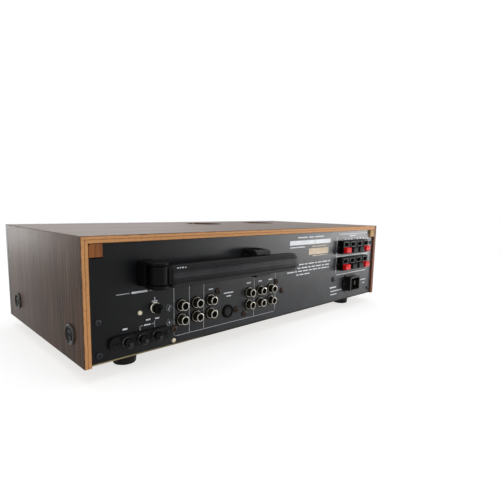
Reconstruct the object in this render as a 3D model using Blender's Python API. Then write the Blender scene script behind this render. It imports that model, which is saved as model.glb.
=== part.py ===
"""A slim stereo receiver in a wood-veneer sleeve: the whole construction, in metres.

+Z is up, the controls face -Y and the sockets face +Y. The origin is on the surface that the
rubber feet stand on, under the middle of the box from the tuning knob to the aerial bar.
Each sub-part is one object. The shapes that are joined to it or cut from it are its helpers,
which renders leave out. A moving sub-part has its own origin on its joint's axis.
"""

import math

import bmesh
import bpy
from mathutils import Vector

MM = 0.001

# Clearances
SEAT_GAP = 0.3 * MM  # between two pieces that touch
RUNNING_GAP = 0.35 * MM  # round a shaft, a stem or a lever
CUT_OVERRUN = 2 * MM  # how far a cut passes the face that it goes through
JOIN_SINK = 0.5 * MM  # how far a joined shape reaches into its carrier

# Facets of round shapes
FINE_SIDES = 24
ROUND_SIDES = 20
SMALL_SIDES = 12
CORNER_STEPS = 4  # of each round corner's arc
SHARP_ANGLE = math.radians(35)

# Cabinet sleeve
CABINET_WIDTH = 470 * MM
CABINET_HEIGHT = 108 * MM
CABINET_DEPTH = 222 * MM  # the front bezel counts in it
CABINET_LIFT = 14 * MM  # from the floor to the boards' lower edges
BOARD_THICKNESS = 6 * MM
MITRE_GAP = 0.4 * MM  # upright gap in each top corner's mitre
CORNER_BLOCK_WIDTH = 11.5 * MM
CORNER_BLOCK_HEIGHT = 11 * MM
CORNER_BLOCK_LENGTH = 180 * MM
VENT_RADIUS = 26 * MM
VENT_FROM_REAR_SHARE = 0.698  # of the cabinet's depth
VENT_X_SHARES = (-0.262, -0.018)  # of the cabinet's width
CABINET_SCREW_Z = 23.5 * MM  # above the boards' lower edges
CABINET_SCREWS_FROM_REAR = (27 * MM, 183 * MM)
CUP_RADIUS = 9 * MM
CUP_RIM = 0.8 * MM
CUP_RISE = 2.2 * MM
CUP_INNER_RADIUS = 5.5 * MM
SCREW_HEAD_RADIUS = 3.8 * MM
SCREW_SHANK_RADIUS = 2 * MM
SCREW_TIP_REACH = 3 * MM  # past the tray's flange

# Chassis
SHEET = 1.2 * MM
TRAY_RISE = 0.6 * MM  # the tray's underside above the boards' lower edges
TRAY_SIDE_GAP = 0.5 * MM
TRAY_FLANGE_HEIGHT = 40 * MM
WALL_FROM_FRONT = 18 * MM  # the sub-chassis wall behind the dial
WALL_TOP_DROP = 13 * MM  # below the top board
PANEL_RECESS = 2.5 * MM  # the rear panel's outer face in front of the cabinet's rear edge
PANEL_TOP_GAP = 0.5 * MM
PANEL_NOTCH_GAP = 1 * MM
FOOT_RADIUS = 11.5 * MM
FOOT_TIP_RADIUS = 8.5 * MM
FOOT_ROUNDING = 5 * MM
FOOT_X_INSET = 49 * MM  # from the cabinet's side
FOOT_Y_INSET = 29 * MM  # from the cabinet's rear edge and front edge

# Front bezel, panel and window
BEZEL_DEPTH = 7 * MM
BEZEL_BORDER = 6 * MM
BEZEL_LIP = 4 * MM
FACE_RECESS = 1.5 * MM
FACE_THICKNESS = 3 * MM
WINDOW_WIDTH = 340 * MM
WINDOW_HEIGHT = 34 * MM
WINDOW_CORNER = 2 * MM
WINDOW_CENTRE_X_SHARE = -0.0656  # of the face's width
WINDOW_CENTRE_Z_SHARE = 0.72  # of the face's height
WINDOW_OVERLAP = 3 * MM
WINDOW_THICKNESS = 2 * MM

# Dial behind the window
DIAL_FROM_FRONT = 12 * MM
DIAL_WIDTH = 260 * MM
DIAL_INSET = 1 * MM  # inside the window's top and bottom edges
DIAL_HEIGHT = WINDOW_HEIGHT - 2 * DIAL_INSET
DIAL_CENTRE_X_SHARE = 0.004
DIAL_GROOVE_WIDTH = 2 * MM
DIAL_GROOVE_DEPTH = 2.2 * MM
DIAL_GROOVE_SETBACK = 2 * MM
POINTER_WIDTH = 1.2 * MM
POINTER_SLED_WIDTH = 12 * MM
POINTER_SLED_HEIGHT = 1.4 * MM
POINTER_THICKNESS = 0.9 * MM
POINTER_GAP = 1 * MM  # between the pointer and the dial plate
POINTER_FOOT_GAP = 5.3 * MM  # from the pointer's foot to the plate's bottom edge
POINTER_CENTRE_X_SHARE = 0.0

# Signal meter
METER_WIDTH = 56 * MM
METER_HEIGHT = DIAL_HEIGHT
METER_DEPTH = 9 * MM
METER_RIM = 4 * MM
METER_WELL = 5 * MM
METER_CENTRE_X_SHARE = -0.367
NEEDLE_LENGTH = 18 * MM
NEEDLE_WIDTH = 0.9 * MM
NEEDLE_THICKNESS = 0.7 * MM
NEEDLE_HUB_RADIUS = 2.4 * MM
NEEDLE_PIN_RADIUS = 1 * MM
NEEDLE_REST_ANGLE = math.radians(-40)  # from upright, to the left

# Knobs, all on shafts of one size
SHAFT_RADIUS = 3 * MM
SHAFT_ENTRY = 7 * MM  # length of a shaft inside its pot
KNOB_GAP = 0.6 * MM  # from the face to a knob's skirt
KNOB_EDGE = 1 * MM
FACE_HOLE_GAP = 0.8 * MM
KNOB_ROW_Z_SHARE = 0.238
MARK_WIDTH = 1 * MM
MARK_DEPTH = 0.6 * MM
MARK_LENGTH_SHARE = 0.45  # of the knob's radius
TUNING_RADIUS = 23 * MM
TUNING_LENGTH = 20 * MM
TUNING_X_SHARE = 0.4045
TUNING_Z_SHARE = 0.6258
# name, place across the face, radius, length and where its mark stands at rest
CONTROLS = {
    "bass_knob": {"x_share": -0.284, "radius": 12 * MM, "length": 15 * MM, "mark": 0},
    "treble_knob": {"x_share": -0.186, "radius": 12 * MM, "length": 15 * MM, "mark": 0},
    "balance_knob": {"x_share": -0.088, "radius": 12 * MM, "length": 15 * MM, "mark": 0},
    "selector_knob": {"x_share": 0.105, "radius": 14 * MM, "length": 15 * MM, "mark": 0},
    "volume_knob": {"x_share": 0.24, "radius": 17 * MM, "length": 17 * MM, "mark": math.radians(-150)},
}
FLYWHEEL_RADIUS = 18 * MM
FLYWHEEL_THICKNESS = 9 * MM
FLYWHEEL_SETBACK = 2.5 * MM  # behind the sub-chassis wall

# Buttons
BUTTON_WIDTH = 16 * MM
BUTTON_HEIGHT = 9 * MM
BUTTON_PROUD = 6 * MM
BUTTON_SUNK = 2.5 * MM
BUTTON_STEM = 4 * MM
BUTTON_TRAVEL = 4 * MM
BUTTON_EDGE = 0.8 * MM
BUTTONS = {"power_button": -0.448, "loudness_button": 0.006}  # shares of the face's width

# Headphone socket
JACK_X_SHARE = -0.376
JACK_BORE_RADIUS = 3.3 * MM
JACK_BORE_DEPTH = 16 * MM
JACK_WALL = 1.3 * MM
JACK_NECK_RADIUS = JACK_BORE_RADIUS + JACK_WALL
JACK_NUT_RIM = 1.9 * MM
JACK_NUT_RADIUS = JACK_NECK_RADIUS + JACK_NUT_RIM
JACK_NUT_HEIGHT = 1.8 * MM
JACK_BODY = 2 * JACK_NUT_RADIUS
JACK_BODY_DEPTH = 15 * MM

# Control board with its pots and switches
POT_SIZE = 18 * MM
POT_DEPTH = 9 * MM
POT_BUSH_WALL = 2 * MM
POT_BUSH_RADIUS = SHAFT_RADIUS + POT_BUSH_WALL
POT_BUSH_LENGTH = 2.2 * MM
SWITCH_SIZE = 10 * MM
BOARD_SHEET = 1.6 * MM
CONTROL_BOARD_BELOW = 16 * MM
CONTROL_BOARD_ABOVE = 14 * MM
CONTROL_BOARD_END = 14 * MM  # past the outer controls

# Tuner board, variable capacitor and dial drum
BOARD_LEG_RADIUS = 3 * MM
BOARD_LEG_HEIGHT = 9 * MM
BOARD_LEG_INSET = 6 * MM
TUNER_X_SHARES = (0.045, 0.45)  # of the cabinet's width
TUNER_Y_SHARES = (0.17, 0.55)  # of the cabinet's depth, from the front
DRUM_X_SHARE = 0.131  # of the face's width
DRUM_Z_SHARE = 0.6468
DRUM_RADIUS = 22 * MM
DRUM_THICKNESS = 5 * MM
DRUM_GROOVE = 1.2 * MM
DRUM_SETBACK = 3 * MM  # behind the sub-chassis wall
CAPACITOR_WIDTH = 34 * MM
CAPACITOR_DEPTH = 40 * MM
CAPACITOR_ABOVE = 14 * MM  # over the drum's axis
CAN_SIZE = 10 * MM
CAN_HEIGHT = 14 * MM
CAN_X_SHARES = (0.42, 0.56, 0.7, 0.84)  # of the tuner board's width
CAN_Y_SHARES = (0.3, 0.7)

# Amplifier board, heat sink and transformer
MAIN_X_SHARES = (-0.29, 0.44)
MAIN_Y_SHARES = (0.585, 0.905)
FILTER_RADIUS = 15 * MM
FILTER_HEIGHT = 48 * MM
FILTER_X_SHARES = (0.12, 0.28)  # of the amplifier board's width
FILTER_Y_SHARE = 0.4
RELAY_SIZE = (22 * MM, 18 * MM, 20 * MM)
RELAY_X_SHARES = (0.5, 0.68, 0.86)
HEAT_SINK_LENGTH = 156 * MM
HEAT_SINK_HEIGHT = 52 * MM
HEAT_SINK_PLATE = 4 * MM
FIN_LENGTH = 13 * MM
FIN_THICKNESS = 2 * MM
FIN_COUNT = 13
HEAT_SINK_X_SHARE = -0.133
CORE_SIZE = (56 * MM, 44 * MM, 48 * MM)
WINDING_BULGE = 11 * MM
WINDING_INSET = 8 * MM
CORE_FOOT_REACH = 6 * MM
CORE_FOOT_HEIGHT = 2 * MM
CORE_X_SHARE = -0.395  # of the cabinet's width
CORE_Y_SHARE = 0.42  # of the cabinet's depth, from the front

# Rear sockets: places from the panel's +X edge, heights as shares of the panel's height
PHONO_PITCH_X = 18 * MM
PHONO_PITCH_Z = 14 * MM
PHONO_COLUMNS = 3
PHONO_ROWS = 2
PHONO_BARREL_RADIUS = 4.15 * MM
PHONO_WASHER_RIM = 1.1 * MM
PHONO_WASHER_RADIUS = PHONO_BARREL_RADIUS + PHONO_WASHER_RIM
PHONO_WASHER_HEIGHT = 1 * MM
PHONO_REACH = 7.5 * MM
PHONO_BORE_RADIUS = 1.7 * MM
PHONO_BORE_DEPTH = 8 * MM
PHONO_BACK_MARGIN = 7 * MM
PHONO_BACK_DEPTH = 8 * MM
PHONO_Z_SHARE = 0.2935
INPUT_FROM_EDGE = 107 * MM
TAPE_FROM_EDGE = 198.9 * MM
DIN_FROM_EDGE = 148.8 * MM
DIN_Z_SHARE = 0.199
DIN_RADIUS = 7.25 * MM
DIN_NECK_RADIUS = 6.5 * MM
DIN_REACH = 1.6 * MM
DIN_SLOT_OUTER = 5.6 * MM
DIN_SLOT_INNER = 4.7 * MM
DIN_SLOT_DEPTH = 5 * MM
DIN_BODY_RADIUS = 8.5 * MM
DIN_BODY_DEPTH = 11 * MM

# Aerial and earth terminals
STRIP_FROM_EDGE = 45 * MM
STRIP_Z_SHARE = 0.135
STRIP_HEIGHT = 12 * MM
STRIP_DEPTH = 3 * MM
TERMINAL_PITCH = 14.6 * MM
TERMINALS = 3
STRIP_END_MARGIN = 15.9 * MM  # from the outer terminals to the strip's ends
STRIP_LENGTH = (TERMINALS - 1) * TERMINAL_PITCH + 2 * STRIP_END_MARGIN
STUD_RADIUS = 1.7 * MM
STUD_REACH = 12 * MM  # from the panel
STUD_BACK = 5 * MM
TERMINAL_RING_RADIUS = 4.6 * MM
TERMINAL_RING_HEIGHT = 1 * MM
THUMB_NUT_RADIUS = 4.5 * MM
THUMB_NUT_HEIGHT = 5.5 * MM
EARTH_FROM_EDGE = 60.5 * MM
EARTH_Z_SHARE = 0.385

# Aerial bar, its bracket and its clip
AERIAL_PIVOT_FROM_EDGE = 51 * MM
AERIAL_Z_SHARE = 0.7286
BAR_LENGTH = 181.5 * MM  # from the pivot to the far end
BAR_HEIGHT = 19 * MM
BAR_DEPTH = 16 * MM
BAR_BACK_FROM_PANEL = 14 * MM
BAR_CHAMFER = 4 * MM
# stations of the bar's far end: place, inset and corner cut, as shares of the chamfer
BAR_TIP_SHARES = ((0, 1, 0.5), (0.5, 0.33, 1), (1, 0, 1))
BAR_EYE_DROP = 1 * MM  # the eye's faces inside the bar's
BAR_EYE_HEIGHT = BAR_HEIGHT - 2 * BAR_EYE_DROP
PIVOT_PIN_RADIUS = 2.5 * MM
BRACKET_WIDTH = 18 * MM
EAR_THICKNESS = 3.7 * MM
BRACKET_HEIGHT = BAR_EYE_HEIGHT + 2 * (EAR_THICKNESS + SEAT_GAP)
EAR_RADIUS = 8.6 * MM
EAR_RIM = 1 * MM
EYE_RADIUS = EAR_RADIUS - EAR_RIM
BAR_SHOULDER_GAP = 1 * MM
CLIP_FROM_EDGE = 180.5 * MM
CLIP_WIDTH = 22 * MM
CLIP_BASE = 3 * MM
CLIP_ARM_UPPER = 5 * MM
CLIP_ARM_LOWER = 2.5 * MM
CLIP_BAR_GAP = 0.5 * MM
CLIP_REACH = 22 * MM

# Speaker terminals: places from the panel's -X edge
SPEAKER_FROM_EDGE = 62.1 * MM
SPEAKER_Z_SHARES = {"upper": 0.771, "lower": 0.5307}
SPEAKER_HEIGHT = 18.6 * MM
SPEAKER_REACH = 8 * MM
SPEAKER_BACK = 8 * MM
SPEAKER_BACK_INSET = 0.8 * MM
SPEAKER_EAR_REACH = 4 * MM
SPEAKER_EAR_HEIGHT = 10 * MM
SPEAKER_EAR_DEPTH = 2 * MM
LEVERS = 4
LEVER_PITCH = 18 * MM
LEVER_WIDTH = 11.5 * MM
LEVER_HEIGHT = 7.6 * MM
LEVER_FLOOR = 0.6 * MM  # of the block's back part, under each lever's slot
LEVER_PROUD = 5.8 * MM
LEVER_SUNK = 8 * MM
LEVER_TRAVEL = 3.5 * MM
LEVER_CHAMFER = 1.2 * MM
LEVER_END_MARGIN = 2.4 * MM  # from the outer levers to the block's ends
SPEAKER_WIDTH = (LEVERS - 1) * LEVER_PITCH + LEVER_WIDTH + 2 * LEVER_END_MARGIN
LEVER_LOW = SPEAKER_HEIGHT / 2 - SPEAKER_BACK_INSET - LEVER_FLOOR - RUNNING_GAP
LEVER_BELOW = LEVER_LOW - LEVER_HEIGHT / 2  # its middle under the block's middle
WIRE_WINDOW_WIDTH = 9 * MM
WIRE_WINDOW_HEIGHT = 6 * MM
WIRE_WINDOW_ABOVE = 4.4 * MM
WIRE_WINDOW_DEPTH = 7 * MM

# Mains inlet
INLET_FROM_EDGE = 62.5 * MM
INLET_Z_SHARE = 0.2185
INLET_FLANGE_WIDTH = 41 * MM
INLET_FLANGE_HEIGHT = 24.5 * MM
INLET_FLANGE_FLAT_SHARE = 0.62  # of the flange's width, along its top and bottom
INLET_FLANGE_DEPTH = 2 * MM
INLET_WIDTH = 23 * MM
INLET_HEIGHT = 18 * MM
INLET_REACH = 10 * MM
INLET_WALL = 1.8 * MM
INLET_WELL = 9 * MM
INLET_BACK = 14 * MM
INLET_PIN_PITCH = 12 * MM
INLET_PIN_WIDTH = 1.6 * MM
INLET_PIN_HEIGHT = 6.3 * MM
INLET_PIN_LENGTH = 7 * MM

# Places that follow from the sizes above
KNOB_REACH = KNOB_GAP + TUNING_LENGTH - FACE_RECESS  # in front of the bezel
BAR_REACH = BAR_BACK_FROM_PANEL + BAR_DEPTH - PANEL_RECESS  # behind the cabinet
Y_REAR = (CABINET_DEPTH + KNOB_REACH - BAR_REACH) / 2
Y_FRONT = Y_REAR - CABINET_DEPTH
VENT_Y = Y_REAR - VENT_FROM_REAR_SHARE * CABINET_DEPTH
HALF_WIDTH = CABINET_WIDTH / 2
Z_LOW = CABINET_LIFT
Z_TOP = Z_LOW + CABINET_HEIGHT
Z_UNDER_TOP = Z_TOP - BOARD_THICKNESS
INNER_HALF = HALF_WIDTH - BOARD_THICKNESS

TRAY_HALF = INNER_HALF - TRAY_SIDE_GAP
TRAY_UNDER = Z_LOW + TRAY_RISE
TRAY_FLOOR = TRAY_UNDER + SHEET
TRAY_FRONT = Y_FRONT + BEZEL_DEPTH + SEAT_GAP
WALL_Y = Y_FRONT + WALL_FROM_FRONT
WALL_BACK = WALL_Y + SHEET

PANEL_OUT = Y_REAR - PANEL_RECESS
PANEL_IN = PANEL_OUT - SHEET
PANEL_LOW = TRAY_FLOOR + SEAT_GAP
PANEL_HIGH = Z_UNDER_TOP - PANEL_TOP_GAP
PANEL_HEIGHT = PANEL_HIGH - PANEL_LOW
PANEL_HALF = TRAY_HALF

FACE_HALF = HALF_WIDTH - BEZEL_BORDER - SEAT_GAP
FACE_LOW = Z_LOW + BEZEL_BORDER + SEAT_GAP
FACE_HEIGHT = CABINET_HEIGHT - 2 * (BEZEL_BORDER + SEAT_GAP)
FACE_OUT = Y_FRONT + FACE_RECESS
FACE_IN = FACE_OUT + FACE_THICKNESS
POT_FRONT = WALL_BACK + SEAT_GAP + POT_BUSH_LENGTH
CONTROL_BOARD_Y = POT_FRONT + POT_DEPTH

ACROSS = {"X": (1, 2), "Y": (0, 2), "Z": (0, 1)}


def face_x(share):
    return share * 2 * FACE_HALF


def face_z(share):
    return FACE_LOW + share * FACE_HEIGHT


def panel_z(share):
    return PANEL_LOW + share * PANEL_HEIGHT


def from_aerial_edge(distance):
    return PANEL_HALF - distance


def from_mains_edge(distance):
    return distance - PANEL_HALF


def at(axis, u, v, w):
    """The point that is w along an axis, and u and v across it in X, Y, Z order."""
    place = Vector((w, w, w))
    place[ACROSS[axis][0]] = u
    place[ACROSS[axis][1]] = v
    return place


def evenly(count, pitch):
    """Places of a row of that many, centred on zero."""
    return [(index - (count - 1) / 2) * pitch for index in range(count)]


def centred(middle, size):
    return middle - size / 2, middle + size / 2


def clear_scene():
    for old in list(bpy.data.objects):
        bpy.data.objects.remove(old, do_unlink=True)


# Shapes. Each function returns a closed bmesh in world space.


def prism(axis, outline, start, end):
    """An outline across an axis, extruded along it."""
    shape = bmesh.new()
    base = shape.faces.new([shape.verts.new(at(axis, u, v, start)) for u, v in outline])
    grown = bmesh.ops.extrude_face_region(shape, geom=[base])
    moved = [item for item in grown["geom"] if isinstance(item, bmesh.types.BMVert)]
    bmesh.ops.translate(shape, verts=moved, vec=at(axis, 0, 0, end - start))
    bmesh.ops.recalc_face_normals(shape, faces=shape.faces)
    return shape


def box(xs, ys, zs):
    """A box from three pairs of limits."""
    outline = [(xs[0], ys[0]), (xs[1], ys[0]), (xs[1], ys[1]), (xs[0], ys[1])]
    return prism("Z", outline, zs[0], zs[1])


def turned(axis, centre, profile, sides, closed=False):
    """A profile of (radius, place along the axis) turned round an axis. A closed one is a ring."""
    shape = bmesh.new()
    angles = [2 * math.pi * step / sides for step in range(sides)]
    rings = []
    for radius, along in profile:
        if radius == 0:
            rings.append([shape.verts.new(at(axis, *centre, along))] * sides)
            continue
        rings.append(
            [
                shape.verts.new(
                    at(axis, centre[0] + radius * math.cos(a), centre[1] + radius * math.sin(a), along)
                )
                for a in angles
            ]
        )
    pairs = list(zip(rings, rings[1:]))
    if closed:
        pairs.append((rings[-1], rings[0]))
    for low, high in pairs:
        for step in range(sides):
            after = (step + 1) % sides
            corners = [low[step], low[after], high[after], high[step]]
            shape.faces.new(list(dict.fromkeys(corners)))
    bmesh.ops.recalc_face_normals(shape, faces=shape.faces)
    return shape


def rod(axis, centre, radius, start, end, sides=SMALL_SIDES):
    return turned(axis, centre, [(0, start), (radius, start), (radius, end), (0, end)], sides)


def rounded_outline(us, vs, radius):
    """A rectangle's outline with round corners."""
    points = []
    corners = ((us[1], vs[1], 0), (us[0], vs[1], 1), (us[0], vs[0], 2), (us[1], vs[0], 3))
    for u, v, quarter in corners:
        middle = (
            u - math.copysign(radius, u - sum(us) / 2),
            v - math.copysign(radius, v - sum(vs) / 2),
        )
        for step in range(CORNER_STEPS + 1):
            angle = (quarter + step / CORNER_STEPS) * math.pi / 2
            points.append((middle[0] + radius * math.cos(angle), middle[1] + radius * math.sin(angle)))
    return points


def chamfered_outline(us, vs, cut):
    """A rectangle's outline with its four corners cut off."""
    return [
        (us[0] + cut, vs[0]),
        (us[1] - cut, vs[0]),
        (us[1], vs[0] + cut),
        (us[1], vs[1] - cut),
        (us[1] - cut, vs[1]),
        (us[0] + cut, vs[1]),
        (us[0], vs[1] - cut),
        (us[0], vs[0] + cut),
    ]


# Materials and objects


def material(name, colour, roughness, metallic=0.0, alpha=1.0):
    made = bpy.data.materials.new(name)
    made.use_nodes = True
    shader = made.node_tree.nodes["Principled BSDF"]
    shader.inputs["Base Color"].default_value = (*colour, 1)
    shader.inputs["Roughness"].default_value = roughness
    shader.inputs["Metallic"].default_value = metallic
    shader.inputs["Alpha"].default_value = alpha
    made.diffuse_color = (*colour, alpha)
    made.metallic = metallic
    made.roughness = roughness
    return made


def mesh_of(name, shape, smooth):
    mesh = bpy.data.meshes.new(name)
    shape.to_mesh(mesh)
    shape.free()
    if smooth:
        mesh.shade_smooth()
        mesh.set_sharp_from_angle(angle=SHARP_ANGLE)
    return mesh


def helpers(name, use, shapes, smooth):
    """A collection of hidden shapes that one Boolean modifier reads."""
    group = bpy.data.collections.new(f"{name}_{use}")
    group.hide_render = True
    bpy.context.scene.collection.children.link(group)
    for index, shape in enumerate(shapes):
        title = f"{name}_{use}_{index}"
        helper = bpy.data.objects.new(title, mesh_of(title, shape, smooth))
        helper.hide_render = True
        helper.display_type = "WIRE"
        group.objects.link(helper)
    return group


def boolean(made, use, operation, shapes, smooth):
    step = made.modifiers.new(use, "BOOLEAN")
    step.operation = operation
    step.solver = "EXACT"
    step.operand_type = "COLLECTION"
    step.collection = helpers(made.name, use, shapes, smooth)


def join_after_cut(made, use, shapes):
    """Joins on shapes that stand inside a hollow, after the hollow is cut."""
    boolean(made, use, "UNION", shapes, False)


def piece(name, finish, shape, joined=(), cut=(), pivot=(0, 0, 0), smooth=True):
    """One sub-part: a shape, with others joined on and then others cut away."""
    mesh = mesh_of(name, shape, smooth)
    pivot = Vector(pivot)
    for vertex in mesh.vertices:
        vertex.co -= pivot
    made = bpy.data.objects.new(name, mesh)
    made.location = pivot
    made.data.materials.append(finish)
    bpy.context.scene.collection.objects.link(made)
    if joined:
        boolean(made, "joined", "UNION", joined, smooth)
    if cut:
        boolean(made, "cut", "DIFFERENCE", cut, smooth)
    return made


# Cabinet


def cabinet(walnut, block_wood, dark_steel):
    board_front = Y_FRONT + BEZEL_DEPTH + SEAT_GAP
    top = [
        (-HALF_WIDTH, Z_TOP),
        (-INNER_HALF, Z_UNDER_TOP),
        (INNER_HALF, Z_UNDER_TOP),
        (HALF_WIDTH, Z_TOP),
    ]
    vents = [
        rod(
            "Z",
            (share * CABINET_WIDTH, VENT_Y),
            VENT_RADIUS,
            Z_UNDER_TOP - CUT_OVERRUN,
            Z_TOP + CUT_OVERRUN,
            FINE_SIDES,
        )
        for share in VENT_X_SHARES
    ]
    piece("cabinet_top", walnut, prism("Y", top, board_front, Y_REAR), cut=vents)
    screw_z = Z_LOW + CABINET_SCREW_Z
    screw_hole = SCREW_SHANK_RADIUS + RUNNING_GAP
    for side, sign in (("right", 1), ("left", -1)):
        outline = [
            (sign * HALF_WIDTH, Z_LOW),
            (sign * HALF_WIDTH, Z_TOP - MITRE_GAP),
            (sign * INNER_HALF, Z_UNDER_TOP - MITRE_GAP),
            (sign * INNER_HALF, Z_LOW),
        ]
        inner, outer = sorted((sign * (INNER_HALF - CUT_OVERRUN), sign * (HALF_WIDTH + CUT_OVERRUN)))
        holes = [
            rod("X", (Y_REAR - inset, screw_z), screw_hole, inner, outer)
            for inset in CABINET_SCREWS_FROM_REAR
        ]
        piece(f"cabinet_side_{side}", walnut, prism("Y", outline, board_front, Y_REAR), cut=holes)
        block_x = sorted(
            (
                sign * (INNER_HALF - SEAT_GAP),
                sign * (INNER_HALF - SEAT_GAP - CORNER_BLOCK_WIDTH),
            )
        )
        block_z = (Z_UNDER_TOP - SEAT_GAP - CORNER_BLOCK_HEIGHT, Z_UNDER_TOP - SEAT_GAP)
        piece(
            f"corner_block_{side}",
            block_wood,
            box(block_x, (Y_REAR - CORNER_BLOCK_LENGTH, Y_REAR), block_z),
            smooth=False,
        )
        for end, inset in zip(("rear", "front"), CABINET_SCREWS_FROM_REAR):
            cabinet_screw(f"cabinet_screw_{side}_{end}", dark_steel, sign, Y_REAR - inset, screw_z)


def cabinet_screw(name, finish, sign, y, z):
    """A cup washer and the screw in it, through the side board into the tray's flange."""
    seat = HALF_WIDTH + SEAT_GAP
    tip = TRAY_HALF - SHEET - SCREW_TIP_REACH
    rise = seat + CUP_RISE
    profile = [
        (0, tip),
        (SCREW_SHANK_RADIUS, tip),
        (SCREW_SHANK_RADIUS, seat),
        (CUP_RADIUS, seat),
        (CUP_RADIUS, seat + CUP_RIM),
        (CUP_INNER_RADIUS, rise),
        (SCREW_HEAD_RADIUS, rise - CUP_RIM),
        (0, rise - CUP_RIM),
    ]
    mirrored = [(radius, sign * along) for radius, along in profile]
    piece(name, finish, turned("X", (y, z), mirrored, ROUND_SIDES))


# Chassis


def chassis_tray(zinc):
    """The floor with its side flanges, and the upright wall that carries the dial and the controls."""
    flange_back = PANEL_IN - SEAT_GAP
    floor = box((-TRAY_HALF, TRAY_HALF), (TRAY_FRONT, PANEL_OUT), (TRAY_UNDER, TRAY_FLOOR))
    rise = (TRAY_FLOOR - JOIN_SINK, TRAY_UNDER + TRAY_FLANGE_HEIGHT)
    flanges = [
        box(sorted((sign * TRAY_HALF, sign * (TRAY_HALF - SHEET))), (TRAY_FRONT, flange_back), rise)
        for sign in (-1, 1)
    ]
    wall_half = TRAY_HALF - SHEET + JOIN_SINK
    wall = box((-wall_half, wall_half), (WALL_Y, WALL_BACK), (rise[0], Z_UNDER_TOP - WALL_TOP_DROP))
    through = (WALL_Y - CUT_OVERRUN, WALL_BACK + CUT_OVERRUN)
    shaft_hole = SHAFT_RADIUS + RUNNING_GAP
    shafts = [(face_x(TUNING_X_SHARE), face_z(TUNING_Z_SHARE))]
    shafts += [(face_x(c["x_share"]), face_z(KNOB_ROW_Z_SHARE)) for c in CONTROLS.values()]
    cuts = [rod("Y", centre, shaft_hole, *through) for centre in shafts]
    stem = BUTTON_STEM + 2 * RUNNING_GAP
    for share in BUTTONS.values():
        cuts.append(
            box(centred(face_x(share), stem), through, centred(face_z(KNOB_ROW_Z_SHARE), stem))
        )
    jack = JACK_BODY + 2 * SEAT_GAP
    cuts.append(
        box(centred(face_x(JACK_X_SHARE), jack), through, centred(face_z(KNOB_ROW_Z_SHARE), jack))
    )
    for sign in (-1, 1):
        inner, outer = sorted((sign * (TRAY_HALF - SHEET - CUT_OVERRUN), sign * (TRAY_HALF + CUT_OVERRUN)))
        for inset in CABINET_SCREWS_FROM_REAR:
            centre = (Y_REAR - inset, Z_LOW + CABINET_SCREW_Z)
            cuts.append(rod("X", centre, SCREW_SHANK_RADIUS + RUNNING_GAP, inner, outer))
    piece("chassis_tray", zinc, floor, joined=[*flanges, wall], cut=cuts, smooth=False)


def rear_panel(black_paint):
    """The plate that carries every socket, notched round the corner blocks, with the earth stud."""
    notch_x = INNER_HALF - SEAT_GAP - CORNER_BLOCK_WIDTH - PANEL_NOTCH_GAP
    notch_z = Z_UNDER_TOP - SEAT_GAP - CORNER_BLOCK_HEIGHT - PANEL_NOTCH_GAP
    outline = [
        (-PANEL_HALF, PANEL_LOW),
        (PANEL_HALF, PANEL_LOW),
        (PANEL_HALF, notch_z),
        (notch_x, notch_z),
        (notch_x, PANEL_HIGH),
        (-notch_x, PANEL_HIGH),
        (-notch_x, notch_z),
        (-PANEL_HALF, notch_z),
    ]
    through = (PANEL_IN - CUT_OVERRUN, PANEL_OUT + CUT_OVERRUN)
    cuts = [
        rod("Y", centre, PHONO_BARREL_RADIUS + RUNNING_GAP, *through)
        for edge in (INPUT_FROM_EDGE, TAPE_FROM_EDGE)
        for centre in phono_centres(edge)
    ]
    din = (from_aerial_edge(DIN_FROM_EDGE), panel_z(DIN_Z_SHARE))
    cuts.append(rod("Y", din, DIN_NECK_RADIUS + RUNNING_GAP, *through, ROUND_SIDES))
    cuts += [rod("Y", centre, STUD_RADIUS + RUNNING_GAP, *through) for centre in terminal_centres()]
    for share in SPEAKER_Z_SHARES.values():
        width = SPEAKER_WIDTH - 2 * (SPEAKER_BACK_INSET - RUNNING_GAP)
        height = SPEAKER_HEIGHT - 2 * (SPEAKER_BACK_INSET - RUNNING_GAP)
        centre = (from_mains_edge(SPEAKER_FROM_EDGE), panel_z(share))
        cuts.append(box(centred(centre[0], width), through, centred(centre[1], height)))
    cuts.append(
        box(
            centred(from_mains_edge(INLET_FROM_EDGE), INLET_WIDTH + 2 * RUNNING_GAP),
            through,
            centred(panel_z(INLET_Z_SHARE), INLET_HEIGHT + 2 * RUNNING_GAP),
        )
    )
    earth = (from_aerial_edge(EARTH_FROM_EDGE), panel_z(EARTH_Z_SHARE))
    stud = turned(
        "Y",
        earth,
        [
            (0, PANEL_IN),
            (TERMINAL_RING_RADIUS, PANEL_IN),
            (TERMINAL_RING_RADIUS, PANEL_OUT + TERMINAL_RING_HEIGHT),
            (STUD_RADIUS, PANEL_OUT + TERMINAL_RING_HEIGHT),
            (STUD_RADIUS, PANEL_OUT + STUD_REACH),
            (0, PANEL_OUT + STUD_REACH),
        ],
        ROUND_SIDES,
    )
    piece(
        "rear_panel", black_paint, prism("Y", outline, PANEL_IN, PANEL_OUT), joined=[stud], cut=cuts
    )


def feet(rubber):
    height = TRAY_UNDER - SEAT_GAP
    profile = [(0, 0), (FOOT_TIP_RADIUS, 0)]
    for step in range(1, CORNER_STEPS + 1):
        angle = step / CORNER_STEPS * math.pi / 2
        profile.append(
            (
                FOOT_TIP_RADIUS + (FOOT_RADIUS - FOOT_TIP_RADIUS) * math.sin(angle),
                FOOT_ROUNDING * (1 - math.cos(angle)),
            )
        )
    profile += [(FOOT_RADIUS, height), (0, height)]
    for end, y in (("rear", Y_REAR - FOOT_Y_INSET), ("front", Y_FRONT + FOOT_Y_INSET)):
        for side, sign in (("right", 1), ("left", -1)):
            centre = (sign * (HALF_WIDTH - FOOT_X_INSET), y)
            piece(f"foot_{end}_{side}", rubber, turned("Z", centre, profile, ROUND_SIDES))


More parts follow.
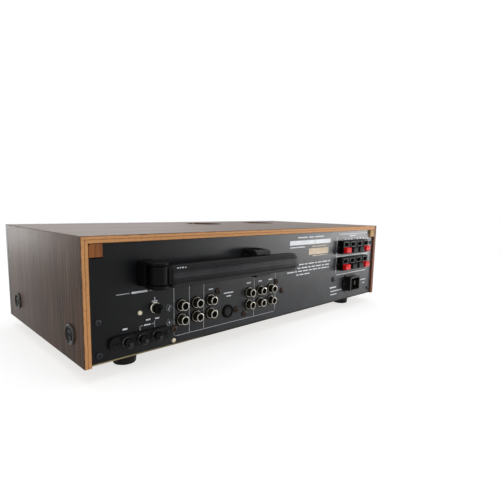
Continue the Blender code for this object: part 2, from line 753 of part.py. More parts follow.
# Front


def front_bezel(black_plastic):
    through = (Y_FRONT - CUT_OVERRUN, Y_FRONT + BEZEL_DEPTH + CUT_OVERRUN)
    seat = (Y_FRONT - CUT_OVERRUN, FACE_IN + SEAT_GAP)
    half = HALF_WIDTH - BEZEL_BORDER
    low, high = Z_LOW + BEZEL_BORDER, Z_TOP - BEZEL_BORDER
    cuts = [
        box((-half, half), seat, (low, high)),
        box((BEZEL_LIP - half, half - BEZEL_LIP), through, (low + BEZEL_LIP, high - BEZEL_LIP)),
    ]
    frame = box((-HALF_WIDTH, HALF_WIDTH), (Y_FRONT, Y_FRONT + BEZEL_DEPTH), (Z_LOW, Z_TOP))
    piece("front_bezel", black_plastic, frame, cut=cuts, smooth=False)


def window_limits(margin=0.0):
    """The window's two limits across and two upwards, with a margin added all round."""
    xs = centred(face_x(WINDOW_CENTRE_X_SHARE), WINDOW_WIDTH + 2 * margin)
    zs = centred(face_z(WINDOW_CENTRE_Z_SHARE), WINDOW_HEIGHT + 2 * margin)
    return xs, zs


def front_panel(aluminium):
    plate = box((-FACE_HALF, FACE_HALF), (FACE_OUT, FACE_IN), (FACE_LOW, FACE_LOW + FACE_HEIGHT))
    through = (FACE_OUT - CUT_OVERRUN, FACE_IN + CUT_OVERRUN)
    row_z = face_z(KNOB_ROW_Z_SHARE)
    shaft_hole = SHAFT_RADIUS + FACE_HOLE_GAP
    cuts = [prism("Y", rounded_outline(*window_limits(), WINDOW_CORNER), *through)]
    cuts.append(
        rod("Y", (face_x(TUNING_X_SHARE), face_z(TUNING_Z_SHARE)), shaft_hole, *through, ROUND_SIDES)
    )
    for control in CONTROLS.values():
        cuts.append(rod("Y", (face_x(control["x_share"]), row_z), shaft_hole, *through, ROUND_SIDES))
    for share in BUTTONS.values():
        cuts.append(
            box(
                centred(face_x(share), BUTTON_WIDTH + 2 * RUNNING_GAP),
                through,
                centred(row_z, BUTTON_HEIGHT + 2 * RUNNING_GAP),
            )
        )
    jack = (face_x(JACK_X_SHARE), row_z)
    cuts.append(rod("Y", jack, JACK_NECK_RADIUS + RUNNING_GAP, *through, ROUND_SIDES))
    piece("front_panel", aluminium, plate, cut=cuts)


def dial(glass, dial_paint, red_paint):
    xs, zs = window_limits(WINDOW_OVERLAP)
    glass_front = FACE_IN + SEAT_GAP
    glass_back = glass_front + WINDOW_THICKNESS
    piece("dial_window", glass, box(xs, (glass_front, glass_back), zs), smooth=False)

    front = Y_FRONT + DIAL_FROM_FRONT
    back = WALL_Y - SEAT_GAP
    plate_x = centred(face_x(DIAL_CENTRE_X_SHARE), DIAL_WIDTH)
    plate_z = centred(face_z(WINDOW_CENTRE_Z_SHARE), DIAL_HEIGHT)
    groove_y = (front + DIAL_GROOVE_SETBACK, front + DIAL_GROOVE_SETBACK + DIAL_GROOVE_WIDTH)
    groove = box(
        (plate_x[0] - CUT_OVERRUN, plate_x[1] + CUT_OVERRUN),
        groove_y,
        (plate_z[1] - DIAL_GROOVE_DEPTH, plate_z[1] + CUT_OVERRUN),
    )
    piece("dial_plate", dial_paint, box(plate_x, (front, back), plate_z), cut=[groove], smooth=False)

    middle = face_x(POINTER_CENTRE_X_SHARE)
    sled_z = (plate_z[1] + SEAT_GAP, plate_z[1] + SEAT_GAP + POINTER_SLED_HEIGHT)
    needle_y = (front - POINTER_GAP - POINTER_THICKNESS, front - POINTER_GAP)
    tongue_y = (groove_y[0] + RUNNING_GAP, groove_y[1] - RUNNING_GAP)
    sled = box(centred(middle, POINTER_SLED_WIDTH), (needle_y[0], tongue_y[1]), sled_z)
    joined = [
        box(
            centred(middle, POINTER_WIDTH),
            needle_y,
            (plate_z[0] + POINTER_FOOT_GAP, sled_z[0] + JOIN_SINK),
        ),
        box(
            centred(middle, POINTER_SLED_WIDTH),
            tongue_y,
            (plate_z[1] - DIAL_GROOVE_DEPTH + SEAT_GAP, sled_z[0] + JOIN_SINK),
        ),
    ]
    pivot = (middle, front, sled_z[0])
    piece("dial_pointer", red_paint, sled, joined=joined, pivot=pivot, smooth=False)


def signal_meter(black_plastic, red_paint):
    """The meter's open-fronted case with its pivot pin, and the needle that hangs on the pin."""
    back = WALL_Y - SEAT_GAP
    front = back - METER_DEPTH
    xs = centred(face_x(METER_CENTRE_X_SHARE), METER_WIDTH)
    zs = centred(face_z(WINDOW_CENTRE_Z_SHARE), METER_HEIGHT)
    well = box(
        (xs[0] + METER_RIM, xs[1] - METER_RIM),
        (front - CUT_OVERRUN, front + METER_WELL),
        (zs[0] + METER_RIM, zs[1] - METER_RIM),
    )
    centre = (sum(xs) / 2, zs[0] + METER_RIM + SEAT_GAP + NEEDLE_HUB_RADIUS)
    hub_y = (front + SEAT_GAP, front + METER_WELL - SEAT_GAP)
    case = piece("signal_meter", black_plastic, box(xs, (front, back), zs), cut=[well], smooth=False)
    pin = rod("Y", centre, NEEDLE_PIN_RADIUS, hub_y[0], front + METER_WELL + JOIN_SINK)
    join_after_cut(case, "pin", [pin])

    bore = NEEDLE_PIN_RADIUS + RUNNING_GAP
    hub = turned(
        "Y",
        centre,
        [(bore, hub_y[0]), (NEEDLE_HUB_RADIUS, hub_y[0]), (NEEDLE_HUB_RADIUS, hub_y[1]), (bore, hub_y[1])],
        SMALL_SIDES,
        closed=True,
    )
    along = Vector((math.sin(NEEDLE_REST_ANGLE), math.cos(NEEDLE_REST_ANGLE)))
    aside = Vector((along.y, -along.x)) * NEEDLE_WIDTH / 2
    foot = Vector(centre) + along * (NEEDLE_HUB_RADIUS - JOIN_SINK)
    tip = Vector(centre) + along * NEEDLE_LENGTH
    blade = [tuple(foot - aside), tuple(foot + aside), tuple(tip + aside / 2), tuple(tip - aside / 2)]
    blade_y = centred(front + METER_WELL / 2, NEEDLE_THICKNESS)
    piece(
        "meter_needle",
        red_paint,
        hub,
        joined=[prism("Y", blade, *blade_y)],
        pivot=(centre[0], blade_y[0], centre[1]),
    )


def knob(name, finish, centre, radius, length, mark_angle, shaft_end):
    """A control knob with its shaft, and a mark cut in its front face."""
    skirt = FACE_OUT - KNOB_GAP
    nose = skirt - length
    profile = [
        (0, nose),
        (radius - KNOB_EDGE, nose),
        (radius, nose + KNOB_EDGE),
        (radius, skirt),
        (SHAFT_RADIUS, skirt),
        (SHAFT_RADIUS, shaft_end),
        (0, shaft_end),
    ]
    out = Vector((math.sin(mark_angle), math.cos(mark_angle)))
    aside = Vector((out.y, -out.x)) * MARK_WIDTH / 2
    inner = Vector(centre) + out * radius * (1 - MARK_LENGTH_SHARE)
    outer = Vector(centre) + out * (radius + CUT_OVERRUN)
    mark = [tuple(inner - aside), tuple(inner + aside), tuple(outer + aside), tuple(outer - aside)]
    groove = prism("Y", mark, nose - CUT_OVERRUN, nose + MARK_DEPTH)
    piece(
        name,
        finish,
        turned("Y", centre, profile, FINE_SIDES),
        cut=[groove],
        pivot=(centre[0], skirt, centre[1]),
    )


def knobs(aluminium, dark_steel):
    row_z = face_z(KNOB_ROW_Z_SHARE)
    for name, control in CONTROLS.items():
        knob(
            name,
            aluminium,
            (face_x(control["x_share"]), row_z),
            control["radius"],
            control["length"],
            control["mark"],
            POT_FRONT + SHAFT_ENTRY - SEAT_GAP,
        )
    centre = (face_x(TUNING_X_SHARE), face_z(TUNING_Z_SHARE))
    wheel_front = WALL_BACK + FLYWHEEL_SETBACK
    wheel_back = wheel_front + FLYWHEEL_THICKNESS
    knob("tuning_knob", aluminium, centre, TUNING_RADIUS, TUNING_LENGTH, 0, wheel_back + SEAT_GAP)
    bore = SHAFT_RADIUS + SEAT_GAP
    ring = [
        (bore, wheel_front),
        (FLYWHEEL_RADIUS, wheel_front),
        (FLYWHEEL_RADIUS, wheel_back),
        (bore, wheel_back),
    ]
    wheel = turned("Y", centre, ring, FINE_SIDES, closed=True)
    piece("tuning_flywheel", dark_steel, wheel, pivot=(centre[0], wheel_front, centre[1]))


def buttons(aluminium):
    row_z = face_z(KNOB_ROW_Z_SHARE)
    stem_end = POT_FRONT + SHAFT_ENTRY - BUTTON_TRAVEL
    for name, share in BUTTONS.items():
        middle = face_x(share)
        cap = prism(
            "Y",
            chamfered_outline(
                centred(middle, BUTTON_WIDTH), centred(row_z, BUTTON_HEIGHT), BUTTON_EDGE
            ),
            FACE_OUT - BUTTON_PROUD,
            FACE_OUT + BUTTON_SUNK,
        )
        stem = box(
            centred(middle, BUTTON_STEM),
            (FACE_OUT + BUTTON_SUNK - JOIN_SINK, stem_end),
            centred(row_z, BUTTON_STEM),
        )
        piece(name, aluminium, cap, joined=[stem], pivot=(middle, FACE_OUT, row_z), smooth=False)


def headphone_socket(nickel):
    centre = (face_x(JACK_X_SHARE), face_z(KNOB_ROW_Z_SHARE))
    nut_back = FACE_OUT - SEAT_GAP
    nose = nut_back - JACK_NUT_HEIGHT
    body_front = FACE_IN + SEAT_GAP
    neck = turned(
        "Y",
        centre,
        [
            (0, nose),
            (JACK_NUT_RADIUS, nose),
            (JACK_NUT_RADIUS, nut_back),
            (JACK_NECK_RADIUS, nut_back),
            (JACK_NECK_RADIUS, body_front + JOIN_SINK),
            (0, body_front + JOIN_SINK),
        ],
        ROUND_SIDES,
    )
    body = box(
        centred(centre[0], JACK_BODY),
        (body_front, body_front + JACK_BODY_DEPTH),
        centred(centre[1], JACK_BODY),
    )
    bore = rod("Y", centre, JACK_BORE_RADIUS, nose - CUT_OVERRUN, nose + JACK_BORE_DEPTH, ROUND_SIDES)
    piece("headphone_socket", nickel, neck, joined=[body], cut=[bore])


# Inside


def control_board(board_green):
    """An upright board with a pot for each knob and a switch for each button."""
    row_z = face_z(KNOB_ROW_Z_SHARE)
    places = [face_x(c["x_share"]) for c in CONTROLS.values()]
    stems = [face_x(share) for share in BUTTONS.values()]
    low, high = min(places + stems) - CONTROL_BOARD_END, max(places + stems) + CONTROL_BOARD_END
    board = box(
        (low, high),
        (CONTROL_BOARD_Y, CONTROL_BOARD_Y + BOARD_SHEET),
        (row_z - CONTROL_BOARD_BELOW, row_z + CONTROL_BOARD_ABOVE),
    )
    back = CONTROL_BOARD_Y + JOIN_SINK
    bush_front = WALL_BACK + SEAT_GAP
    joined, cuts = [], []
    for x in places:
        joined.append(box(centred(x, POT_SIZE), (POT_FRONT, back), centred(row_z, POT_SIZE)))
        joined.append(rod("Y", (x, row_z), POT_BUSH_RADIUS, bush_front, POT_FRONT + JOIN_SINK))
        bore = SHAFT_RADIUS + RUNNING_GAP
        cuts.append(rod("Y", (x, row_z), bore, bush_front - CUT_OVERRUN, POT_FRONT + SHAFT_ENTRY))
    for x in stems:
        joined.append(box(centred(x, SWITCH_SIZE), (bush_front, back), centred(row_z, SWITCH_SIZE)))
        slot = BUTTON_STEM + 2 * RUNNING_GAP
        cuts.append(
            box(
                centred(x, slot),
                (bush_front - CUT_OVERRUN, POT_FRONT + SHAFT_ENTRY + SEAT_GAP),
                centred(row_z, slot),
            )
        )
    piece("control_board", board_green, board, joined=joined, cut=cuts)


def board_on_legs(xs, ys):
    """A level board and the four legs that stand it on the tray."""
    low = TRAY_FLOOR + SEAT_GAP
    level = low + BOARD_LEG_HEIGHT
    board = box(xs, ys, (level, level + BOARD_SHEET))
    legs = [
        rod("Z", (x, y), BOARD_LEG_RADIUS, low, level + JOIN_SINK)
        for x in (xs[0] + BOARD_LEG_INSET, xs[1] - BOARD_LEG_INSET)
        for y in (ys[0] + BOARD_LEG_INSET, ys[1] - BOARD_LEG_INSET)
    ]
    return board, legs, level + BOARD_SHEET


def share_between(limits, share):
    return limits[0] + share * (limits[1] - limits[0])


def tuner(board_green, aluminium):
    """The tuner board with its variable capacitor and coil cans, and the dial drum on its shaft."""
    xs = [share * CABINET_WIDTH for share in TUNER_X_SHARES]
    ys = [Y_FRONT + share * CABINET_DEPTH for share in TUNER_Y_SHARES]
    board, joined, top = board_on_legs(xs, ys)
    drum_centre = (face_x(DRUM_X_SHARE), face_z(DRUM_Z_SHARE))
    drum_front = WALL_BACK + DRUM_SETBACK
    drum_back = drum_front + DRUM_THICKNESS
    frame_front = ys[0] + BOARD_LEG_INSET
    sunk = top - JOIN_SINK
    joined.append(
        box(
            centred(drum_centre[0], CAPACITOR_WIDTH),
            (frame_front, frame_front + CAPACITOR_DEPTH),
            (sunk, drum_centre[1] + CAPACITOR_ABOVE),
        )
    )
    joined.append(
        rod("Y", drum_centre, SHAFT_RADIUS, drum_front, frame_front + JOIN_SINK, ROUND_SIDES)
    )
    for x_share in CAN_X_SHARES:
        for y_share in CAN_Y_SHARES:
            joined.append(
                box(
                    centred(share_between(xs, x_share), CAN_SIZE),
                    centred(share_between(ys, y_share), CAN_SIZE),
                    (sunk, top + CAN_HEIGHT),
                )
            )
    piece("tuner_board", board_green, board, joined=joined)

    bore = SHAFT_RADIUS + RUNNING_GAP
    ring = [
        (bore, drum_front),
        (DRUM_RADIUS, drum_front),
        (DRUM_RADIUS, drum_front + DRUM_GROOVE),
        (DRUM_RADIUS - DRUM_GROOVE, drum_front + DRUM_THICKNESS / 2),
        (DRUM_RADIUS, drum_back - DRUM_GROOVE),
        (DRUM_RADIUS, drum_back),
        (bore, drum_back),
    ]
    drum = turned("Y", drum_centre, ring, FINE_SIDES, closed=True)
    piece("dial_drum", aluminium, drum, pivot=(drum_centre[0], drum_front, drum_centre[1]))


def main_board(board_green):
    xs = [share * CABINET_WIDTH for share in MAIN_X_SHARES]
    ys = [Y_FRONT + share * CABINET_DEPTH for share in MAIN_Y_SHARES]
    board, joined, top = board_on_legs(xs, ys)
    sunk = top - JOIN_SINK
    for share in FILTER_X_SHARES:
        centre = (share_between(xs, share), share_between(ys, FILTER_Y_SHARE))
        joined.append(rod("Z", centre, FILTER_RADIUS, sunk, top + FILTER_HEIGHT, ROUND_SIDES))
    for share in RELAY_X_SHARES:
        joined.append(
            box(
                centred(share_between(xs, share), RELAY_SIZE[0]),
                centred(share_between(ys, FILTER_Y_SHARE), RELAY_SIZE[1]),
                (sunk, top + RELAY_SIZE[2]),
            )
        )
    piece("main_board", board_green, board, joined=joined)


def heat_sink(aluminium):
    """A finned plate under the two vents: one comb outline, extruded upwards."""
    middle = HEAT_SINK_X_SHARE * CABINET_WIDTH
    left = centred(middle, HEAT_SINK_LENGTH)[0]
    front, back = centred(VENT_Y, HEAT_SINK_PLATE)
    pitch = (HEAT_SINK_LENGTH - FIN_THICKNESS) / (FIN_COUNT - 1)
    outline = []
    for index in range(FIN_COUNT):
        start = left + index * pitch
        end = start + FIN_THICKNESS
        outline += [(start, front), (start, front - FIN_LENGTH), (end, front - FIN_LENGTH), (end, front)]
    for index in reversed(range(FIN_COUNT)):
        start = left + index * pitch
        end = start + FIN_THICKNESS
        outline += [(end, back), (end, back + FIN_LENGTH), (start, back + FIN_LENGTH), (start, back)]
    low = TRAY_FLOOR + SEAT_GAP
    piece(
        "heat_sink", aluminium, prism("Z", outline, low, low + HEAT_SINK_HEIGHT), smooth=False
    )


def power_transformer(core_steel):
    centre = (CORE_X_SHARE * CABINET_WIDTH, Y_FRONT + CORE_Y_SHARE * CABINET_DEPTH)
    low = TRAY_FLOOR + SEAT_GAP
    xs, ys = centred(centre[0], CORE_SIZE[0]), centred(centre[1], CORE_SIZE[1])
    core = box(xs, ys, (low, low + CORE_SIZE[2]))
    bulge = WINDING_BULGE
    winding = prism(
        "Y",
        rounded_outline(
            (xs[0] + WINDING_INSET, xs[1] - WINDING_INSET),
            (low + WINDING_INSET, low + CORE_SIZE[2] - WINDING_INSET),
            WINDING_INSET,
        ),
        ys[0] - bulge,
        ys[1] + bulge,
    )
    feet_plate = box(
        (xs[0] - CORE_FOOT_REACH, xs[1] + CORE_FOOT_REACH), ys, (low, low + CORE_FOOT_HEIGHT)
    )
    piece("power_transformer", core_steel, core, joined=[winding, feet_plate])


# Rear


def phono_centres(edge):
    middle = (from_aerial_edge(edge), panel_z(PHONO_Z_SHARE))
    return [
        (middle[0] + across, middle[1] + up)
        for across in evenly(PHONO_COLUMNS, PHONO_PITCH_X)
        for up in evenly(PHONO_ROWS, PHONO_PITCH_Z)
    ]


def phono_group(name, finish, edge):
    """Six phono sockets on one backing block, which sits against the panel's inner face."""
    middle = (from_aerial_edge(edge), panel_z(PHONO_Z_SHARE))
    width = (PHONO_COLUMNS - 1) * PHONO_PITCH_X + 2 * PHONO_BACK_MARGIN
    height = (PHONO_ROWS - 1) * PHONO_PITCH_Z + 2 * PHONO_BACK_MARGIN
    front = PANEL_IN - SEAT_GAP
    back = box(
        centred(middle[0], width), (front - PHONO_BACK_DEPTH, front), centred(middle[1], height)
    )
    washer = PANEL_OUT + SEAT_GAP
    end = PANEL_OUT + PHONO_REACH
    profile = [
        (0, front - JOIN_SINK),
        (PHONO_BARREL_RADIUS, front - JOIN_SINK),
        (PHONO_BARREL_RADIUS, washer),
        (PHONO_WASHER_RADIUS, washer),
        (PHONO_WASHER_RADIUS, washer + PHONO_WASHER_HEIGHT),
        (PHONO_BARREL_RADIUS, washer + PHONO_WASHER_HEIGHT),
        (PHONO_BARREL_RADIUS, end),
        (0, end),
    ]
    centres = phono_centres(edge)
    barrels = [turned("Y", centre, profile, SMALL_SIDES) for centre in centres]
    bores = [
        rod("Y", centre, PHONO_BORE_RADIUS, end - PHONO_BORE_DEPTH, end + CUT_OVERRUN)
        for centre in centres
    ]
    piece(name, finish, back, joined=barrels, cut=bores)


def din_socket(nickel):
    centre = (from_aerial_edge(DIN_FROM_EDGE), panel_z(DIN_Z_SHARE))
    inside = PANEL_IN - SEAT_GAP
    flange = PANEL_OUT + SEAT_GAP
    end = PANEL_OUT + DIN_REACH
    profile = [
        (0, inside - DIN_BODY_DEPTH),
        (DIN_BODY_RADIUS, inside - DIN_BODY_DEPTH),
        (DIN_BODY_RADIUS, inside),
        (DIN_NECK_RADIUS, inside),
        (DIN_NECK_RADIUS, flange),
        (DIN_RADIUS, flange),
        (DIN_RADIUS, end),
        (0, end),
    ]
    slot = turned(
        "Y",
        centre,
        [
            (DIN_SLOT_INNER, end - DIN_SLOT_DEPTH),
            (DIN_SLOT_OUTER, end - DIN_SLOT_DEPTH),
            (DIN_SLOT_OUTER, end + CUT_OVERRUN),
            (DIN_SLOT_INNER, end + CUT_OVERRUN),
        ],
        ROUND_SIDES,
        closed=True,
    )
    piece("din_socket", nickel, turned("Y", centre, profile, ROUND_SIDES), cut=[slot])


def terminal_centres():
    middle = (from_aerial_edge(STRIP_FROM_EDGE), panel_z(STRIP_Z_SHARE))
    return [(middle[0] + across, middle[1]) for across in evenly(TERMINALS, TERMINAL_PITCH)]


def aerial_terminals(black_plastic):
    """The strip with its three studs, and the thumb nuts on them and on the earth stud."""
    middle = (from_aerial_edge(STRIP_FROM_EDGE), panel_z(STRIP_Z_SHARE))
    low = PANEL_OUT + SEAT_GAP
    face = low + STRIP_DEPTH
    strip = box(centred(middle[0], STRIP_LENGTH), (low, face), centred(middle[1], STRIP_HEIGHT))
    end = PANEL_OUT + STUD_REACH
    profile = [
        (0, PANEL_IN - STUD_BACK),
        (STUD_RADIUS, PANEL_IN - STUD_BACK),
        (STUD_RADIUS, face - JOIN_SINK),
        (TERMINAL_RING_RADIUS, face - JOIN_SINK),
        (TERMINAL_RING_RADIUS, face + TERMINAL_RING_HEIGHT),
        (STUD_RADIUS, face + TERMINAL_RING_HEIGHT),
        (STUD_RADIUS, end),
        (0, end),
    ]
    studs = [turned("Y", centre, profile, SMALL_SIDES) for centre in terminal_centres()]
    piece("aerial_terminal_strip", black_plastic, strip, joined=studs)

    seat = face + TERMINAL_RING_HEIGHT + SEAT_GAP
    for number, centre in enumerate(terminal_centres(), 1):
        thumb_nut(f"aerial_nut_{number}", black_plastic, centre, seat)
    earth = (from_aerial_edge(EARTH_FROM_EDGE), panel_z(EARTH_Z_SHARE))
    earth_seat = PANEL_OUT + TERMINAL_RING_HEIGHT + SEAT_GAP
    thumb_nut("earth_nut", black_plastic, earth, earth_seat)


def thumb_nut(name, finish, centre, seat):
    bore = STUD_RADIUS + RUNNING_GAP
    ring = [
        (bore, seat),
        (THUMB_NUT_RADIUS, seat),
        (THUMB_NUT_RADIUS, seat + THUMB_NUT_HEIGHT),
        (bore, seat + THUMB_NUT_HEIGHT),
    ]
    nut = turned("Y", centre, ring, ROUND_SIDES, closed=True)
    piece(name, finish, nut, pivot=(centre[0], seat, centre[1]))


def aerial(black_plastic):
    """The ferrite aerial bar on its upright pin, the bracket that holds the pin, and the clip."""
    pivot_x = from_aerial_edge(AERIAL_PIVOT_FROM_EDGE)
    pivot_y = PANEL_OUT + BAR_BACK_FROM_PANEL + BAR_DEPTH / 2
    z = panel_z(AERIAL_Z_SHARE)
    seat = PANEL_OUT + SEAT_GAP
    zs = centred(z, BRACKET_HEIGHT)
    block_front = pivot_y - EYE_RADIUS - SEAT_GAP
    block = box(centred(pivot_x, BRACKET_WIDTH), (seat, block_front), zs)
    eye_zs = centred(z, BAR_EYE_HEIGHT + 2 * SEAT_GAP)
    ears = []
    for ear_z in ((zs[0], eye_zs[0]), (eye_zs[1], zs[1])):
        ears.append(rod("Z", (pivot_x, pivot_y), EAR_RADIUS, *ear_z, FINE_SIDES))
        ears.append(
            box(centred(pivot_x, BRACKET_WIDTH - JOIN_SINK), (block_front - JOIN_SINK, pivot_y), ear_z)
        )
    pin = rod(
        "Z",
        (pivot_x, pivot_y),
        PIVOT_PIN_RADIUS,
        eye_zs[0] - JOIN_SINK,
        eye_zs[1] + JOIN_SINK,
        ROUND_SIDES,
    )
    piece("aerial_bracket", black_plastic, block, joined=[*ears, pin])

    bar_y = centred(pivot_y, BAR_DEPTH)
    bar_z = centred(z, BAR_HEIGHT)
    shoulder = pivot_x - EAR_RADIUS - BAR_SHOULDER_GAP
    far = pivot_x - BAR_LENGTH
    taper = BAR_CHAMFER
    body = prism("X", chamfered_outline(bar_y, bar_z, BAR_CHAMFER), far + taper, shoulder)
    tip = tapered_end(bar_y, bar_z, far, taper)
    eye_z = centred(z, BAR_EYE_HEIGHT)
    eye = rod("Z", (pivot_x, pivot_y), EYE_RADIUS, *eye_z, FINE_SIDES)
    neck = box((shoulder - JOIN_SINK, pivot_x), centred(pivot_y, 2 * EYE_RADIUS), eye_z)
    bore = rod(
        "Z",
        (pivot_x, pivot_y),
        PIVOT_PIN_RADIUS + RUNNING_GAP,
        eye_z[0] - CUT_OVERRUN,
        eye_z[1] + CUT_OVERRUN,
        ROUND_SIDES,
    )
    piece(
        "aerial_bar",
        black_plastic,
        body,
        joined=[tip, eye, neck],
        cut=[bore],
        pivot=(pivot_x, pivot_y, z),
    )

    upper = (bar_z[1] + CLIP_BAR_GAP, bar_z[1] + CLIP_BAR_GAP + CLIP_ARM_UPPER)
    lower = (bar_z[0] - CLIP_BAR_GAP - CLIP_ARM_LOWER, bar_z[0] - CLIP_BAR_GAP)
    base_y, reach = seat + CLIP_BASE, seat + CLIP_REACH
    outline = [
        (seat, lower[0]),
        (reach, lower[0]),
        (reach, lower[1]),
        (base_y, lower[1]),
        (base_y, upper[0]),
        (reach, upper[0]),
        (reach, upper[1] - CLIP_BASE),
        (reach - CLIP_BASE, upper[1]),
        (seat, upper[1]),
    ]
    clip_x = centred(from_aerial_edge(CLIP_FROM_EDGE), CLIP_WIDTH)
    piece("aerial_clip", black_plastic, prism("X", outline, *clip_x), smooth=False)


def tapered_end(ys, zs, far, taper):
    """The bar's far end: its section narrows over the taper to a smaller flat end."""
    shape = bmesh.new()
    made = []
    for along, inset, cut in BAR_TIP_SHARES:
        limits = [(low + inset * taper, high - inset * taper) for low, high in (ys, zs)]
        outline = chamfered_outline(*limits, cut * taper)
        made.append([shape.verts.new(at("X", u, v, far + along * taper)) for u, v in outline])
    sunk = chamfered_outline(ys, zs, taper)
    made.append([shape.verts.new(at("X", u, v, far + taper + JOIN_SINK)) for u, v in sunk])
    shape.faces.new(made[0])
    shape.faces.new(made[-1])
    for low, high in zip(made, made[1:]):
        for step in range(len(low)):
            after = (step + 1) % len(low)
            shape.faces.new([low[step], low[after], high[after], high[step]])
    bmesh.ops.recalc_face_normals(shape, faces=shape.faces)
    return shape


def speaker_terminals(black_plastic, red_plastic):
    """Two blocks of four spring terminals: a wire window over each push lever."""
    x = from_mains_edge(SPEAKER_FROM_EDGE)
    low = PANEL_OUT + SEAT_GAP
    face = PANEL_OUT + SPEAKER_REACH
    back = PANEL_IN - SPEAKER_BACK
    lever_end = face - LEVER_SUNK
    for level, share in SPEAKER_Z_SHARES.items():
        z = panel_z(share)
        block = box(centred(x, SPEAKER_WIDTH), (low, face), centred(z, SPEAKER_HEIGHT))
        joined = [
            box(
                centred(x, SPEAKER_WIDTH - 2 * SPEAKER_BACK_INSET),
                (back, low + JOIN_SINK),
                centred(z, SPEAKER_HEIGHT - 2 * SPEAKER_BACK_INSET),
            ),
            box(
                centred(x, SPEAKER_WIDTH + 2 * SPEAKER_EAR_REACH),
                (low, low + SPEAKER_EAR_DEPTH),
                centred(z, SPEAKER_EAR_HEIGHT),
            ),
        ]
        cuts = []
        for number, across in enumerate(evenly(LEVERS, LEVER_PITCH), 1):
            lever_x, lever_z = x + across, z - LEVER_BELOW
            cuts.append(
                box(
                    centred(lever_x, LEVER_WIDTH + 2 * RUNNING_GAP),
                    (lever_end - LEVER_TRAVEL - SEAT_GAP, face + CUT_OVERRUN),
                    centred(lever_z, LEVER_HEIGHT + 2 * RUNNING_GAP),
                )
            )
            cuts.append(
                box(
                    centred(lever_x, WIRE_WINDOW_WIDTH),
                    (face - WIRE_WINDOW_DEPTH, face + CUT_OVERRUN),
                    centred(z + WIRE_WINDOW_ABOVE, WIRE_WINDOW_HEIGHT),
                )
            )
            finish = red_plastic if number in (1, LEVERS) else black_plastic
            outer = face + LEVER_PROUD
            bottom, top = centred(lever_z, LEVER_HEIGHT)
            outline = [
                (lever_end, bottom),
                (outer - LEVER_CHAMFER, bottom),
                (outer, bottom + LEVER_CHAMFER),
                (outer, top - LEVER_CHAMFER),
                (outer - LEVER_CHAMFER, top),
                (lever_end, top),
            ]
            piece(
                f"speaker_lever_{level}_{number}",
                finish,
                prism("X", outline, *centred(lever_x, LEVER_WIDTH)),
                pivot=(lever_x, face, lever_z),
                smooth=False,
            )
        piece(
            f"speaker_terminal_{level}", black_plastic, block, joined=joined, cut=cuts, smooth=False
        )


def power_inlet(black_plastic):
    """The two-pin mains inlet: a pointed flange, a shroud through the panel and two blades in it."""
    x, z = from_mains_edge(INLET_FROM_EDGE), panel_z(INLET_Z_SHARE)
    low = PANEL_OUT + SEAT_GAP
    end = PANEL_OUT + INLET_REACH
    point = INLET_FLANGE_WIDTH / 2
    flat = point * INLET_FLANGE_FLAT_SHARE
    half = INLET_FLANGE_HEIGHT / 2
    outline = [
        (x - point, z),
        (x - flat, z - half),
        (x + flat, z - half),
        (x + point, z),
        (x + flat, z + half),
        (x - flat, z + half),
    ]
    flange = prism("Y", outline, low, low + INLET_FLANGE_DEPTH)
    shroud = box(centred(x, INLET_WIDTH), (PANEL_IN - INLET_BACK, end), centred(z, INLET_HEIGHT))
    ring = [
        box(
            centred(x, INLET_WIDTH - 2 * INLET_WALL),
            (end - INLET_WELL, end + CUT_OVERRUN),
            centred(z, INLET_HEIGHT - 2 * INLET_WALL),
        )
    ]
    made = piece("power_inlet", black_plastic, flange, joined=[shroud], cut=ring, smooth=False)
    blades = [
        box(
            centred(x + across, INLET_PIN_WIDTH),
            (end - INLET_WELL - JOIN_SINK, end - INLET_WELL + INLET_PIN_LENGTH),
            centred(z, INLET_PIN_HEIGHT),
        )
        for across in evenly(2, INLET_PIN_PITCH)
    ]
    join_after_cut(made, "blades", blades)


def main():
    clear_scene()
    walnut = material("walnut_veneer", (0.13, 0.075, 0.045), 0.45)
    block_wood = material("block_wood", (0.25, 0.09, 0.03), 0.7)
    dark_steel = material("dark_steel", (0.03, 0.03, 0.03), 0.4, 0.6)
    zinc = material("zinc_steel", (0.62, 0.57, 0.42), 0.35, 0.9)
    black_paint = material("black_paint", (0.03, 0.03, 0.035), 0.4, 0.1)
    rubber = material("rubber", (0.02, 0.02, 0.02), 0.75)
    black_plastic = material("black_plastic", (0.02, 0.02, 0.02), 0.45)
    red_plastic = material("red_plastic", (0.75, 0.03, 0.02), 0.4)
    aluminium = material("aluminium", (0.72, 0.72, 0.73), 0.3, 1.0)
    nickel = material("nickel", (0.6, 0.57, 0.5), 0.3, 0.9)
    glass = material("dial_glass", (0.35, 0.4, 0.42), 0.05, 0.0, 0.3)
    dial_paint = material("dial_paint", (0.02, 0.025, 0.03), 0.5)
    red_paint = material("red_paint", (0.8, 0.1, 0.03), 0.5)
    board_green = material("board_green", (0.12, 0.2, 0.06), 0.5)
    core_steel = material("core_steel", (0.12, 0.1, 0.09), 0.5, 0.5)

    cabinet(walnut, block_wood, dark_steel)
    chassis_tray(zinc)
    rear_panel(black_paint)
    feet(rubber)
    front_bezel(black_plastic)
    front_panel(aluminium)
    dial(glass, dial_paint, red_paint)
    signal_meter(black_plastic, red_paint)
    knobs(aluminium, dark_steel)
    buttons(aluminium)
    headphone_socket(nickel)
    control_board(board_green)
    tuner(board_green, aluminium)
    main_board(board_green)
    heat_sink(aluminium)
    power_transformer(core_steel)
    phono_group("input_sockets", nickel, INPUT_FROM_EDGE)
    phono_group("tape_sockets", nickel, TAPE_FROM_EDGE)
    din_socket(nickel)
    aerial_terminals(black_plastic)
    aerial(black_plastic)
    speaker_terminals(black_plastic, red_plastic)
    power_inlet(black_plastic)


main()
